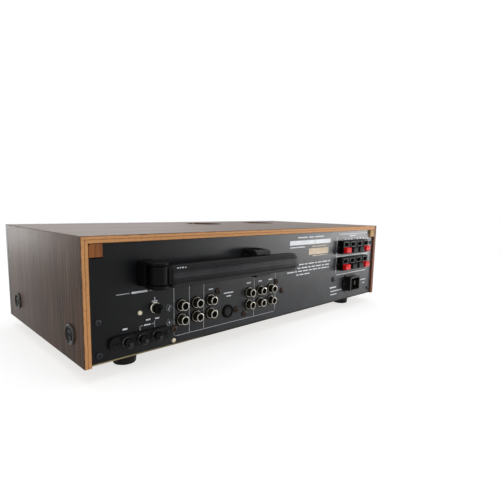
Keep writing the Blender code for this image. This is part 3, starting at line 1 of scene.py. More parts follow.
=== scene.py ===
# %% [markdown]
# # A stereo receiver, seen from behind
#
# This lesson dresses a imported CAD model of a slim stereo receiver. The CAD gives every node its
# size and place. Here each visible node gets a fuller shape, or keeps its own with a real finish.
# The camera comes first, because it decides which details are worth their time.

import math

import bmesh
import bpy
from mathutils import Matrix, Vector


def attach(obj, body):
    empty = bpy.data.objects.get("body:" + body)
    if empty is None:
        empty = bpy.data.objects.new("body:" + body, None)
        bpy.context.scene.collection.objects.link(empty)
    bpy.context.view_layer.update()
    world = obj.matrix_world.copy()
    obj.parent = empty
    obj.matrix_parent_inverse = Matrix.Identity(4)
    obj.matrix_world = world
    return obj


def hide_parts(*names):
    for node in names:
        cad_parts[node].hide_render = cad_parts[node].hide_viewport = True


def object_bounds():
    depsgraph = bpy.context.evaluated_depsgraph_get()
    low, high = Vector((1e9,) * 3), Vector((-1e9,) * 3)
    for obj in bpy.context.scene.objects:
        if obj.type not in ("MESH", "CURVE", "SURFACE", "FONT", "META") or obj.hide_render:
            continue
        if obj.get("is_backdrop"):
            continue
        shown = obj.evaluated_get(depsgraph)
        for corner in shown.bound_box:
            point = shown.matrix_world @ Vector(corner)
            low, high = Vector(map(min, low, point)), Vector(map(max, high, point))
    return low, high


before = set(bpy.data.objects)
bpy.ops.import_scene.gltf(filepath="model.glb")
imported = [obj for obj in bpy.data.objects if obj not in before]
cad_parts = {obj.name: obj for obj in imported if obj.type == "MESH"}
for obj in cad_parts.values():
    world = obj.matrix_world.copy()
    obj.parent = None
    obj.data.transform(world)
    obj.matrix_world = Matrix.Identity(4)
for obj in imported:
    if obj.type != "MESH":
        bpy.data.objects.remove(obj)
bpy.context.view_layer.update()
MM = 0.001

# %% [markdown]
# ## The camera
#
# The photograph was taken from behind the right rear corner, a little above the lid, with a wide
# lens close to the object. The place and angles below were solved from the cabinet's corners. A
# short lens close by gives the strong perspective, which a long lens further off wouldn't.

# %% Place the camera
CAMERA_PLACE = (0.351574, 0.406306, 0.145323)
CAMERA_HEADING = math.radians(136.32)
CAMERA_DIP = math.radians(7.70)
CAMERA_ROLL = math.radians(1.03)
CAMERA_LENS = 27.99
CAMERA_SENSOR = 36
CAMERA_SHIFT = (0.0211, 0.0220)
CAMERA_CLIP = (0.01, 50)

optics = bpy.data.cameras.new("camera")
optics.lens = CAMERA_LENS
optics.sensor_width = CAMERA_SENSOR
optics.shift_x, optics.shift_y = CAMERA_SHIFT
optics.clip_start, optics.clip_end = CAMERA_CLIP
camera = bpy.data.objects.new("camera", optics)
bpy.context.scene.collection.objects.link(camera)
look = Matrix.Rotation(CAMERA_HEADING, 4, "Z") @ Matrix.Rotation(math.pi / 2 - CAMERA_DIP, 4, "X")
camera.matrix_world = Matrix.Translation(CAMERA_PLACE) @ look @ Matrix.Rotation(CAMERA_ROLL, 4, "Z")
bpy.context.scene.camera = camera
bpy.context.scene.view_settings.view_transform = "Standard"
print("camera height in mm:", round(CAMERA_PLACE[2] / MM))

# %% [markdown]
# ## Mixing finishes
#
# A finish in Blender is a small tree of nodes that ends in one shader. Writing every node and
# link by hand is long, so this class wraps the few moves that all finishes share: a noise of a
# given grain size in mm, a ramp of colours, a mix, a sum, a bump. Each move returns the socket
# that carries its result, so a finish reads from top to bottom like a recipe.


# %% Colours and nodes
def tone(red, green, blue):
    """A colour as it looks on a screen, 0 to 255, turned into the linear values of a shader."""
    shares = [value / 255 for value in (red, green, blue)]
    linear = [s / 12.92 if s <= 0.04045 else ((s + 0.055) / 1.055) ** 2.4 for s in shares]
    return (*linear, 1.0)


def add_node(tree, kind, result, inputs, **settings):
    """Adds a node, feeds it with sockets or plain values, and gives back one of its outputs."""
    made = tree.nodes.new("ShaderNode" + kind)
    for setting, value in settings.items():
        setattr(made, setting, value)
    for socket, value in inputs.items():
        feed(tree, made.inputs[socket], value)
    return made.outputs[result]


def feed(tree, socket, value):
    if isinstance(value, bpy.types.NodeSocket):
        tree.links.new(value, socket)
    else:
        socket.default_value = value


print("half way to white on a screen is", round(tone(128, 128, 128)[0], 3), "to a shader")

# %% A class for finishes
# The places of a colour mix's sockets: Blender gives the same names to those for numbers.
MIX_SHARE = 0
MIX_FIRST = 6
MIX_SECOND = 7
MIX_RESULT = 2


class Finish:
    """A material being mixed. Each method adds a node and gives back its result."""

    def __init__(self, name, roughness, metallic=0.0, specular=0.5):
        self.material = bpy.data.materials.new(name)
        self.material.use_nodes = True
        self.tree = self.material.node_tree
        self.shader = self.tree.nodes["Principled BSDF"]
        self.shader.inputs["Roughness"].default_value = roughness
        self.shader.inputs["Metallic"].default_value = metallic
        self.shader.inputs["Specular IOR Level"].default_value = specular

    def node(self, kind, result, inputs, **settings):
        return add_node(self.tree, kind, result, inputs, **settings)

    def feed(self, name, value):
        """Feeds one of the shader's own sockets."""
        feed(self.tree, self.shader.inputs[name], value)

    def place(self, stretch=(1, 1, 1)):
        """The point on the piece, in metres, stretched along the axes whose share is below 1."""
        point = self.node("TexCoord", "Object", {})
        return self.node("Mapping", "Vector", {"Vector": point, "Scale": stretch})

    def noise(self, grain, stretch=(1, 1, 1), detail=4.0, warp=0.0):
        """Cloudy noise from 0 to 1 with patches about as wide as grain, in mm."""
        inputs = {"Vector": self.place(stretch), "Scale": 1 / (grain * MM)}
        return self.node("TexNoise", "Fac", {**inputs, "Detail": detail, "Distortion": warp})

    def cells(self, grain, stretch=(1, 1, 1)):
        """A random colour for each cell, for small parts that stand close together."""
        inputs = {"Vector": self.place(stretch), "Scale": 1 / (grain * MM)}
        return self.node("TexVoronoi", "Color", inputs)

    def axis(self, name):
        """One coordinate of the point on the piece, in metres."""
        return self.node("SeparateXYZ", name, {"Vector": self.place()})

    def sum(self, operation, first, second=0.0):
        return self.node("Math", "Value", {0: first, 1: second}, operation=operation)

    def window(self, value, low, high):
        """0 below low, 1 above high, and a straight slope between."""
        return self.node("MapRange", "Result", {"Value": value, "From Min": low, "From Max": high})

    def between(self, share, low, high):
        """Runs from low to high as the share runs from 0 to 1."""
        return self.node("MapRange", "Result", {"Value": share, "To Min": low, "To Max": high})

    def ramp(self, value, *stops):
        """A colour for every value, from stops of (position, colour)."""
        result = self.node("ValToRGB", "Color", {"Fac": value})
        elements = result.node.color_ramp.elements
        while len(elements) < len(stops):
            elements.new(1.0)
        for element, (position, colour) in zip(elements, stops):
            element.position = position
            element.color = colour
        return result

    def mix(self, share, first, second, blend="MIX"):
        inputs = {MIX_SHARE: share, MIX_FIRST: first, MIX_SECOND: second}
        return self.node("Mix", MIX_RESULT, inputs, data_type="RGBA", blend_type=blend)

    def colour(self, value):
        self.feed("Base Color", value)

    def roughness(self, value, low, high):
        self.feed("Roughness", self.between(value, low, high))

    def bump(self, height, depth):
        """Relief of the given depth in mm, on top of any relief that is there already."""
        inputs = {"Height": height, "Distance": depth * MM, "Strength": 1.0}
        normal = self.shader.inputs["Normal"]
        if normal.is_linked:
            inputs["Normal"] = normal.links[0].from_socket
        self.feed("Normal", self.node("Bump", "Normal", inputs))


print("finish helper ready")

# %% [markdown]
# ## Room, floor and lamps
#
# A product photograph on white is lit by big soft boxes, with white all round that gloss and
# metal pick up. The world is white for the camera, for reflections and through glass, and dimmer
# as a lamp, so the object isn't washed out. The floor adds a little of its own white on top of
# what the lamps give, which lifts it to white and still leaves room for the object's soft shadow.
# Further out the floor glows fully, so that it meets the world without a horizon. Two of the lamps
# are strips that stay lower than the lid. They put a soft shine on the upright faces, strongest
# near the top, and no glare on the lid.

# %% The white surroundings
WORLD_LAMP = 0.52
FLOOR_GLOW = 0.67
FLOOR_SIZE = 16
FLOOR_NEAR = 0.5
FLOOR_FAR = 1.6
FLOOR_DROP = 0.05
SEEN_RAYS = ("Is Camera Ray", "Is Glossy Ray", "Is Transmission Ray")

world = bpy.data.worlds.new("white_room")
world.use_nodes = True
bpy.context.scene.world = world
room = world.node_tree
background = room.nodes["Background"]
background.inputs["Color"].default_value = (1, 1, 1, 1)


def seen_ray(tree):
    """1 for rays that look: from the camera, off gloss and through glass. 0 for rays that light."""
    seen = 0.0
    for ray in SEEN_RAYS:
        this_ray = add_node(tree, "LightPath", ray, {})
        seen = add_node(tree, "Math", "Value", {0: seen, 1: this_ray}, operation="MAXIMUM")
    return seen


strengths = {"Value": seen_ray(room), "To Min": WORLD_LAMP, "To Max": 1.0}
feed(room, background.inputs["Strength"], add_node(room, "MapRange", "Result", strengths))
print("world as a lamp:", WORLD_LAMP)

# %% The floor
floor_shape = bmesh.new()
bmesh.ops.create_grid(floor_shape, x_segments=2, y_segments=2, size=FLOOR_SIZE / 2)
floor_mesh = bpy.data.meshes.new("floor")
floor_shape.to_mesh(floor_mesh)
floor_shape.free()
floor = bpy.data.objects.new("floor", floor_mesh)
floor.location.z = -FLOOR_DROP * MM
bpy.context.scene.collection.objects.link(floor)

floor_paint = Finish("floor_white", roughness=0.9, specular=0.0)
mottle = floor_paint.noise(60)
paper = floor_paint.ramp(mottle, (0, tone(172, 172, 172)), (1, tone(178, 178, 178)))
away = floor_paint.node("VectorMath", "Value", {0: floor_paint.place()}, operation="LENGTH")
away = floor_paint.window(away, FLOOR_NEAR, FLOOR_FAR)
floor_paint.colour(floor_paint.mix(away, paper, (0, 0, 0, 1)))
glow_here = floor_paint.between(away, FLOOR_GLOW, 1.0)
glow = floor_paint.sum("MULTIPLY", seen_ray(floor_paint.tree), glow_here)
floor_paint.feed("Emission Color", (1, 1, 1, 1))
floor_paint.feed("Emission Strength", glow)
floor_mesh.materials.append(floor_paint.material)
floor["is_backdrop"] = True
print("floor size in m:", FLOOR_SIZE)

# %% The soft boxes
LAMPS = {
    "overhead_box": ((0.1, 0.25, 1.5), (1.5, 1.5), 9.6),
    "side_box": ((1.7, 0.5, 0.9), (1.2, 1.2), 2.5),
    "rear_box": ((-0.2, 1.9, 0.9), (1.2, 1.2), 5.5),
    "front_box": ((-0.6, -1.8, 1.1), (1.2, 1.2), 4.0),
    "right_strip": ((-0.9, 0.62, 0.06), (0.8, 0.11), 4.0),
    "left_strip": ((0.74, -1.05, 0.06), (0.9, 0.11), 2.6),
}
AIM = Vector((0, 0, 0.06))

for lamp_name, (lamp_place, size, power) in LAMPS.items():
    light = bpy.data.lights.new(lamp_name, "AREA")
    light.shape = "RECTANGLE"
    light.size, light.size_y = size
    light.energy = power
    box = bpy.data.objects.new(lamp_name, light)
    box.location = lamp_place
    box.rotation_euler = (AIM - box.location).to_track_quat("-Z", "Y").to_euler()
    bpy.context.scene.collection.objects.link(box)
print("soft boxes:", len(LAMPS))

# %% [markdown]
# ## Shaping tools
#
# Nearly all parts of such a receiver are pressed, moulded or turned. So three tools make most of
# the shapes: a plate with any outline, a shape turned on a lathe, and a cut of one shape from
# another. They work in mm, as a drawing does, and the piece is scaled to metres at the end.


# %% Plates and outlines
def spot(axis, u, v, w):
    """A point in mm. w lies along the axis, and u and v across it."""
    places = {"X": (w, u, v), "Y": (u, w, v), "Z": (u, v, w)}
    return Vector(places[axis])


def rectangle(us, vs):
    return [(us[0], vs[0]), (us[1], vs[0]), (us[1], vs[1]), (us[0], vs[1])]


def rounded(us, vs, radius, steps=5):
    """A rectangle with round corners, as a list of points."""
    turns = [
        (us[1] - radius, vs[0] + radius, -90),
        (us[1] - radius, vs[1] - radius, 0),
        (us[0] + radius, vs[1] - radius, 90),
        (us[0] + radius, vs[0] + radius, 180),
    ]
    points = []
    for u, v, start in turns:
        for step in range(steps + 1):
            angle = math.radians(start + 90 * step / steps)
            points.append((u + radius * math.cos(angle), v + radius * math.sin(angle)))
    return points


def chamfered(half_u, half_v, cut_u, cut_v):
    """A rectangle round (0, 0) with its corners cut off, as a list of points."""
    upper = [
        (-half_u, half_v - cut_v),
        (-half_u + cut_u, half_v),
        (half_u - cut_u, half_v),
        (half_u, half_v - cut_v),
    ]
    return upper + [(u, -v) for u, v in upper[::-1]]


def centred(middle, size):
    """The two ends of a length round its middle."""
    return (middle - size / 2, middle + size / 2)


def add_plate(shape, axis, outline, start, end, slot=0):
    """Adds a plate with this outline, from start to end along the axis."""
    low = [shape.verts.new(spot(axis, u, v, start)) for u, v in outline]
    high = [shape.verts.new(spot(axis, u, v, end)) for u, v in outline]
    faces = [shape.faces.new(low), shape.faces.new(high[::-1])]
    for step in range(len(outline)):
        after = (step + 1) % len(outline)
        faces.append(shape.faces.new([low[step], high[step], high[after], low[after]]))
    for face in faces:
        face.material_index = slot
    return faces


def add_box(shape, xs, ys, zs, slot=0):
    return add_plate(shape, "Z", rectangle(xs, ys), zs[0], zs[1], slot)


print("points of a rounded outline:", len(rounded((0, 9), (0, 9), 1)))


# %% The lathe
def add_turned(shape, axis, centre, profile, sides=32, slot=0, closed=False, flutes=0):
    """Turns a profile of (radius, place, flute depth) about the axis. The depth may be left out."""
    rings = []
    for radius, along, *depth in profile:
        if radius == 0:
            rings.append([shape.verts.new(spot(axis, centre[0], centre[1], along))])
            continue
        ring = []
        for side in range(sides):
            angle = math.tau * side / sides
            cut = depth[0] * (0.5 - 0.5 * math.cos(flutes * angle)) if depth else 0
            u = centre[0] + (radius - cut) * math.cos(angle)
            v = centre[1] + (radius - cut) * math.sin(angle)
            ring.append(shape.verts.new(spot(axis, u, v, along)))
        rings.append(ring)
    if closed:
        rings.append(rings[0])
    faces = []
    for low, high in zip(rings, rings[1:]):
        for side in range(sides):
            after = (side + 1) % sides
            corners = [low[side % len(low)], low[after % len(low)]]
            corners += [high[after % len(high)], high[side % len(high)]]
            faces.append(shape.faces.new(list(dict.fromkeys(corners))))
    for ring in (rings[0], rings[-1]):
        if not closed and len(ring) > 1:
            faces.append(shape.faces.new(ring))
    for face in faces:
        face.material_index = slot
    return faces


def ring_profile(inner, outer, start, end, edge=0.0):
    """The profile of a plain ring. An edge takes off its outer corner at the end."""
    corner = [(outer, end - edge), (outer - edge, end)] if edge else [(outer, end)]
    return [(inner, start), (outer, start), *corner, (inner, end)]


def disc_profile(radius, start, end):
    return [(0, start), (radius, start), (radius, end), (0, end)]


print("the lathe is ready")


# %% Cutting and copying
SLOTS = 5


def mesh_from(shape):
    """A mesh of the shape with empty slots, so that its faces keep their slot numbers."""
    bmesh.ops.recalc_face_normals(shape, faces=shape.faces)
    mesh = bpy.data.meshes.new("shape")
    shape.to_mesh(mesh)
    for _ in range(SLOTS):
        mesh.materials.append(None)
    return mesh


def carved(shape, cutter):
    """Cuts one closed shape out of another and gives back the result as a new shape."""
    body = bpy.data.objects.new("body", mesh_from(shape))
    tool = bpy.data.objects.new("tool", mesh_from(cutter))
    for thing in (body, tool):
        bpy.context.scene.collection.objects.link(thing)
    cut = body.modifiers.new("cut", "BOOLEAN")
    cut.operation = "DIFFERENCE"
    cut.solver = "EXACT"
    cut.use_self = True
    cut.object = tool
    graph = bpy.context.evaluated_depsgraph_get()
    made = bmesh.new()
    made.from_mesh(body.evaluated_get(graph).to_mesh())
    for thing in (body, tool):
        mesh = thing.data
        bpy.data.objects.remove(thing)
        bpy.data.meshes.remove(mesh)
    shape.free()
    cutter.free()
    return made


def stamp(shape, template, matrix, slot=None):
    """Adds a copy of the template to the shape, moved by the matrix, all in one slot if given."""
    mesh = mesh_from(template)
    mesh.transform(matrix)
    if slot is not None:
        mesh.polygons.foreach_set("material_index", [slot] * len(mesh.polygons))
    shape.from_mesh(mesh)
    bpy.data.meshes.remove(mesh)


print("slots of a shape that is cut or copied:", SLOTS)


# %% From a shape to a piece
def rounded_edges(piece, width, segments=2, angle=40):
    bevel = piece.modifiers.new("edges", "BEVEL")
    bevel.width = width * MM
    bevel.segments = segments
    bevel.limit_method = "ANGLE"
    bevel.angle_limit = math.radians(angle)
    bevel.harden_normals = True


def make_piece(name, shape, finishes, body, replaces=(), edge=0.0, origin=(0, 0, 0), sharp=35):
    """Turns a shape in mm into a piece that rides on its body."""
    bmesh.ops.recalc_face_normals(shape, faces=shape.faces)
    mesh = bpy.data.meshes.new(name)
    shape.to_mesh(mesh)
    shape.free()
    mesh.transform(Matrix.Scale(MM, 4) @ Matrix.Translation(-Vector(origin)))
    mesh.polygons.foreach_set("use_smooth", [True] * len(mesh.polygons))
    mesh.set_sharp_from_angle(angle=math.radians(sharp))
    for finish in finishes:
        mesh.materials.append(finish.material)
    piece = bpy.data.objects.new(name, mesh)
    piece.location = Vector(origin) * MM
    bpy.context.scene.collection.objects.link(piece)
    if edge:
        rounded_edges(piece, edge)
    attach(piece, body)
    if replaces:
        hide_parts(*replaces)
    print("piece", name, "faces", len(mesh.polygons))
    return piece


print("shaping tools ready")

# %% [markdown]
# ## Wood finishes
#
# The sleeve is chipboard wrapped in a printed walnut vinyl: brown-grey streaks that run up the
# sides and along the lid, with fine dark pores. Noise that is stretched hard along one axis gives
# such grain, and mixing a wide, a middle and a fine one keeps it from looking like a pattern.


# %% Walnut vinyl
Z_LOW = 14
Z_TOP = 122
WALNUT_BANDS = ((0.3, tone(50, 36, 28)), (0.5, tone(82, 62, 50)), (0.7, tone(116, 93, 77)))
WALNUT_STREAKS = ((0.36, tone(36, 25, 19)), (0.5, tone(78, 59, 47)), (0.66, tone(132, 108, 92)))


def stretched(axis_number, share):
    """A stretch for noise: the share along one axis and none across it."""
    return [share if number == axis_number else 1.0 for number in range(3)]


def walnut_print(name, along, specular):
    finish = Finish(name, roughness=0.45, specular=specular)

    def grain(size, share, detail, warp):
        return finish.noise(size, stretched(along, share), detail, warp)

    bands = grain(26, 0.07, 2, 0.8)
    streaks = grain(2.4, 0.035, 5, 0.4)
    pores = grain(0.55, 0.02, 2, 0.0)
    wood = finish.mix(0.6, finish.ramp(bands, *WALNUT_BANDS), finish.ramp(streaks, *WALNUT_STREAKS))
    dark = finish.window(pores, 0.60, 0.70)
    wood = finish.mix(finish.sum("MULTIPLY", dark, 0.55), wood, tone(44, 32, 28))
    # Darker towards the bottom of the sides, in random patches: painted shade.
    height = finish.window(finish.axis("Z"), Z_LOW * MM, Z_TOP * MM)
    patch = finish.sum("MULTIPLY", grain(45, 0.3, 3, 0.5), 0.4)
    height = finish.sum("ADD", height, finish.sum("SUBTRACT", patch, 0.2))
    painted_shade_below = finish.ramp(height, (0.0, tone(196, 182, 170)), (1.0, tone(255, 255, 255)))
    finish.colour(finish.mix(1.0, wood, painted_shade_below, "MULTIPLY"))
    finish.roughness(streaks, 0.38, 0.52)
    finish.bump(pores, 0.03)
    return finish


walnut_up = walnut_print("walnut_vinyl_upright", along=2, specular=0.08)
walnut_across = walnut_print("walnut_vinyl_across", along=0, specular=0.3)
print("vinyl finishes:", walnut_up.material.name, walnut_across.material.name)

# %% [markdown]
# The rear ends of the boards show what the vinyl hides: light orange chipboard with a darker glue
# line in its middle and the thin dark vinyl along its outside. All of that depends only on how
# deep a point lies in the board. The larger of "how far past the side's inner face" and "how far
# past the lid's inner face" gives that depth for both boards, and it turns the corner as a mitre.
# The left side's end is darker than the rest: painted shade.

# %% Board ends, inner faces and glue blocks
BOARD_THICKNESS = 6
SIDE_INNER_X = 229
LID_INNER_Z = 116
MITRE_LINE = (0.1, 0.35)
SHADE_END_X = -SIDE_INNER_X + 0.6


def board_depth(finish):
    """The depth in the board as a share of its thickness, and the way to the mitre in metres."""
    sideways = finish.sum("ABSOLUTE", finish.axis("X"))
    sideways = finish.sum("SUBTRACT", sideways, SIDE_INNER_X * MM)
    upward = finish.sum("SUBTRACT", finish.axis("Z"), LID_INNER_Z * MM)
    deepest = finish.sum("MAXIMUM", sideways, upward)
    apart = finish.sum("ABSOLUTE", finish.sum("SUBTRACT", sideways, upward))
    return finish.sum("DIVIDE", deepest, BOARD_THICKNESS * MM), apart


board_end = Finish("board_end", roughness=0.6, specular=0.3)
depth, from_mitre = board_depth(board_end)
wander = board_end.sum("MULTIPLY", board_end.noise(9, detail=2), 0.16)
depth = board_end.sum("ADD", depth, board_end.sum("SUBTRACT", wander, 0.08))
layers = board_end.ramp(
    depth,
    (0.00, tone(168, 112, 64)),
    (0.12, tone(214, 158, 103)),
    (0.38, tone(207, 149, 94)),
    (0.50, tone(160, 104, 58)),
    (0.60, tone(217, 161, 106)),
    (0.88, tone(203, 147, 94)),
    (0.95, tone(80, 49, 34)),
)
chips = board_end.noise(0.9, detail=5)
speckle = board_end.ramp(chips, (0.3, tone(214, 204, 190)), (0.5, tone(255, 255, 255)))
wood = board_end.mix(1.0, layers, speckle, "MULTIPLY")
at_mitre = board_end.window(from_mitre, MITRE_LINE[1] * MM, MITRE_LINE[0] * MM)
at_mitre = board_end.sum("MULTIPLY", at_mitre, 0.75)
wood = board_end.mix(at_mitre, wood, tone(96, 58, 34))
# The left side's end is painted darker: painted shade.
painted_shade_end = board_end.mix(1.0, wood, tone(140, 116, 96), "MULTIPLY")
unshaded_share = board_end.window(board_end.axis("X"), -SIDE_INNER_X * MM, SHADE_END_X * MM)
board_end.colour(board_end.mix(unshaded_share, painted_shade_end, wood))
board_end.roughness(chips, 0.5, 0.75)
board_end.bump(chips, 0.12)


def raw_wood(name, along, dark, light, grain=1.6):
    finish = Finish(name, roughness=0.65, specular=0.25)
    fibres = finish.noise(grain, stretched(along, 0.06), 5, 0.6)
    finish.colour(finish.ramp(fibres, (0.3, dark), (0.7, light)))
    finish.roughness(fibres, 0.5, 0.8)
    finish.bump(fibres, 0.15)
    return finish


board_inside = raw_wood("board_inside", 1, tone(98, 56, 33), tone(142, 86, 52))
glue_block = raw_wood("glue_block", 2, tone(114, 65, 31), tone(160, 97, 50))
# A paler copy of the glue block's wood, for the left block: painted light where it lies in shade.
lit_glue_block = raw_wood("painted_light_glue_block", 2, tone(164, 122, 78), tone(206, 166, 116))
vent_wall = raw_wood("vent_wall", 0, tone(58, 34, 22), tone(104, 62, 38))
print("wood finishes ready")

# %% [markdown]
# ## Metal finishes
#
# Plated and painted metal looks alike until it has its own faults. Paint has a faint orange peel
# and dust, and it grows lighter from the panel's +X end to its -X end: dust and painted sheen.
# Zinc has cloudy yellow patches, nickel dulls in spots, and brushed aluminium carries fine lines
# one way. Each recipe changes colour and roughness with the same noise, so that dull patches are
# also the discoloured ones, as they are on real plating.

# %% Paint and print
PAINT_END_X = 215
SHINE_END_X = 95

black_paint = Finish("satin_black_paint", roughness=0.4, specular=0.25)
dust = black_paint.noise(22, detail=6)
peel = black_paint.noise(0.45, detail=2)
plain_paint = black_paint.ramp(dust, (0.35, tone(6, 7, 9)), (0.7, tone(13, 14, 16)))
# Lighter towards the panel's -X end: dust and painted sheen.
dust_and_sheen = black_paint.ramp(dust, (0.35, tone(36, 38, 41)), (0.7, tone(50, 52, 56)))
dust_and_sheen_side = black_paint.window(black_paint.axis("X"), PAINT_END_X * MM, -PAINT_END_X * MM)
black_paint.colour(black_paint.mix(dust_and_sheen_side, plain_paint, dust_and_sheen))
shiny_part = black_paint.window(black_paint.axis("X"), PAINT_END_X * MM, SHINE_END_X * MM)
black_paint.feed("Specular IOR Level", black_paint.between(shiny_part, 0.16, 0.28))
black_paint.roughness(dust, 0.33, 0.42)
black_paint.bump(peel, 0.012)


def printed(name, roughness, grain, dark, light, detail=5, relief=0.01, specular=0.5):
    """Ink or card that is worn in small patches. Dark and light are stops of (position, colour)."""
    finish = Finish(name, roughness=roughness, specular=specular)
    wear = finish.noise(grain, detail=detail)
    finish.colour(finish.ramp(wear, dark, light))
    finish.bump(wear, relief)
    return finish


white_print = printed("white_print", 0.55, 1.2, (0.3, tone(168, 172, 178)), (0.5, tone(226, 229, 233)))
dim_print = printed("dim_print", 0.55, 0.9, (0.3, tone(112, 115, 120)), (0.6, tone(178, 182, 187)))
plate_ends = ((0.3, tone(190, 194, 199)), (0.6, tone(216, 220, 225)))
plate_white = printed("plate_white", 0.4, 14, *plate_ends, relief=0.02)
label_ends = ((0.3, tone(204, 184, 156)), (0.65, tone(236, 221, 198)))
label_cream = printed("label_cream", 0.7, 7, *label_ends, detail=6, relief=0.03, specular=0.3)
print("paint and print ready")


# %% Plated and bare metal
def plated(name, dark, light, roughness, metallic=1.0, patch=6.0, relief=0.02):
    """Metal that is discoloured and duller in cloudy patches."""
    finish = Finish(name, roughness=roughness[0], metallic=metallic)
    patches = finish.noise(patch, detail=6, warp=0.4)
    finish.colour(finish.ramp(patches, (0.32, dark), (0.62, light)))
    finish.roughness(patches, roughness[1], roughness[0])
    finish.bump(finish.noise(patch / 8, detail=4), relief)
    return finish


nickel = plated("dull_nickel", tone(166, 160, 146), tone(232, 229, 218), (0.24, 0.44), patch=2.0)
# The phono barrels' side is darker and warmer than the rim's nickel: a painted reflection. The round
# socket's contacts use it too.
painted_reflection_metal = plated("painted_reflection_metal", tone(42, 37, 27), tone(84, 75, 56), (0.32, 0.5), patch=2.5)
ring_metal = plated("tarnished_rings", tone(44, 45, 42), tone(104, 104, 97), (0.3, 0.5), patch=2.0)

# The tray's rear edge is darker, apart from the stretch near its right end.
TRAY_EDGE_Y = (101.0, 102.0)
TRAY_BRIGHT_X = (105.0, 150.0)
zinc = Finish("yellow_zinc", roughness=0.36, metallic=0.9)
cloudy = zinc.noise(55, detail=6, warp=0.4)
plating = zinc.ramp(cloudy, (0.32, tone(108, 98, 74)), (0.62, tone(146, 134, 102)))
rear_edge = zinc.window(zinc.axis("Y"), *[y * MM for y in TRAY_EDGE_Y])
still_bright = zinc.window(zinc.axis("X"), *[x * MM for x in TRAY_BRIGHT_X])
edge_colour = zinc.mix(still_bright, tone(34, 31, 27), plating)
zinc.colour(zinc.mix(rear_edge, plating, edge_colour))
zinc.roughness(cloudy, 0.46, 0.32)
zinc.bump(zinc.noise(7, detail=4), 0.02)

brown_steel = plated("browned_steel", tone(20, 17, 15), tone(56, 43, 35), (0.35, 0.6), 0.7, patch=1.2)
cream_rivet = plated("cream_rivet", tone(184, 172, 146), tone(234, 226, 204), (0.3, 0.5), 0.5, patch=1.5)
dark_steel = plated("dark_steel", tone(24, 25, 27), tone(48, 49, 52), (0.34, 0.55), 0.7, patch=5)
core_steel = plated("core_steel", tone(52, 44, 38), tone(86, 74, 64), (0.45, 0.65), 0.4, patch=8)
cast_alloy = plated("cast_alloy", tone(150, 152, 155), tone(196, 198, 200), (0.4, 0.6), 0.9, patch=7)
blade_metal = plated("blade_metal", tone(92, 89, 82), tone(150, 146, 136), (0.25, 0.4), patch=2.0)

brushed = Finish("brushed_aluminium", roughness=0.3, metallic=1.0)
strokes = brushed.noise(0.5, stretched(0, 0.006), 4)
cloud = brushed.noise(60, stretched(0, 0.3), 3)
shade = brushed.ramp(strokes, (0.3, tone(150, 152, 156)), (0.7, tone(196, 197, 199)))
brushed.colour(brushed.mix(brushed.sum("MULTIPLY", cloud, 0.35), shade, tone(172, 172, 173)))
brushed.roughness(strokes, 0.26, 0.42)
brushed.bump(strokes, 0.015)

turned_metal = Finish("turned_aluminium", roughness=0.28, metallic=1.0)
across = turned_metal.axis("X")
upright = turned_metal.axis("Z")
squares = turned_metal.sum("MULTIPLY", across, across)
squares = turned_metal.sum("ADD", squares, turned_metal.sum("MULTIPLY", upright, upright))
from_axis = turned_metal.sum("MULTIPLY", turned_metal.sum("SQRT", squares), 1 / MM)
ring_noise = {"W": from_axis, "Scale": 5.0, "Detail": 4.0}
rings = turned_metal.node("TexNoise", "Fac", ring_noise, noise_dimensions="1D")
turned_metal.colour(turned_metal.ramp(rings, (0.3, tone(138, 140, 144)), (0.7, tone(196, 197, 199))))
turned_metal.roughness(rings, 0.2, 0.38)
turned_metal.bump(rings, 0.02)
print("metal finishes ready")

# %% [markdown]
# ## Plastic, rubber, glass and board
#
# Moulded plastic has a fine grain and a soft shine that varies where hands and dust have been.
# A black part is never quite black: the ferrite bar's cover is a dark grey with a painted highlight
# band across its front and painted shade at its top and bottom, and the sockets are nearly black.
# Glass is the one finish here that needs transmission.


# %% Moulded finishes
def moulded(name, dark, light, roughness=(0.34, 0.5), patch=9.0, grain=0.3, relief=0.02, specular=0.5):
    finish = Finish(name, roughness=roughness[0], specular=specular)
    rubbed = finish.noise(patch, detail=6)
    finish.colour(finish.ramp(rubbed, (0.32, dark), (0.68, light)))
    finish.roughness(rubbed, *roughness)
    finish.bump(finish.noise(grain, detail=2), relief)
    return finish


black_plastic = moulded("black_plastic", tone(13, 13, 14), tone(25, 25, 27), (0.3, 0.44), specular=0.2)
cup_enamel = moulded("cup_enamel", tone(15, 16, 17), tone(27, 28, 30), (0.4, 0.55), 4, specular=0.14)
cup_rim = plated("cup_rim", tone(30, 30, 30), tone(66, 64, 62), (0.34, 0.5), 0.5, patch=3)
nut_black = moulded("nut_black", tone(8, 8, 8), tone(15, 15, 16), (0.36, 0.5), 3, specular=0.1)
hinge_black = moulded("hinge_black", tone(7, 7, 8), tone(13, 13, 14), (0.4, 0.52), specular=0.07)
grey_plastic = moulded("grey_plastic", tone(34, 35, 38), tone(52, 54, 58), (0.4, 0.55), specular=0.25)
block_plastic = moulded("block_plastic", tone(8, 8, 9), tone(15, 15, 16), (0.42, 0.55), specular=0.04)
strip_plastic = moulded("strip_plastic", tone(10, 10, 12), tone(18, 19, 21), (0.4, 0.52), specular=0.14)
socket_core = moulded("socket_core", tone(27, 28, 30), tone(39, 40, 43), (0.5, 0.65), 4, specular=0.16)
lever_black = moulded("lever_black", tone(14, 14, 15), tone(25, 25, 27), (0.45, 0.6), specular=0.12)
lever_red = moulded("lever_red", tone(214, 12, 20), tone(232, 28, 32), (0.36, 0.5), 5, specular=0.14)
bezel_plastic = moulded("bezel_plastic", tone(20, 19, 18), tone(31, 29, 27), (0.38, 0.55), 30, specular=0.25)
rubber = moulded("foot_rubber", tone(16, 16, 16), tone(30, 29, 28), (0.7, 0.85), 5, 0.5, 0.05, 0.2)
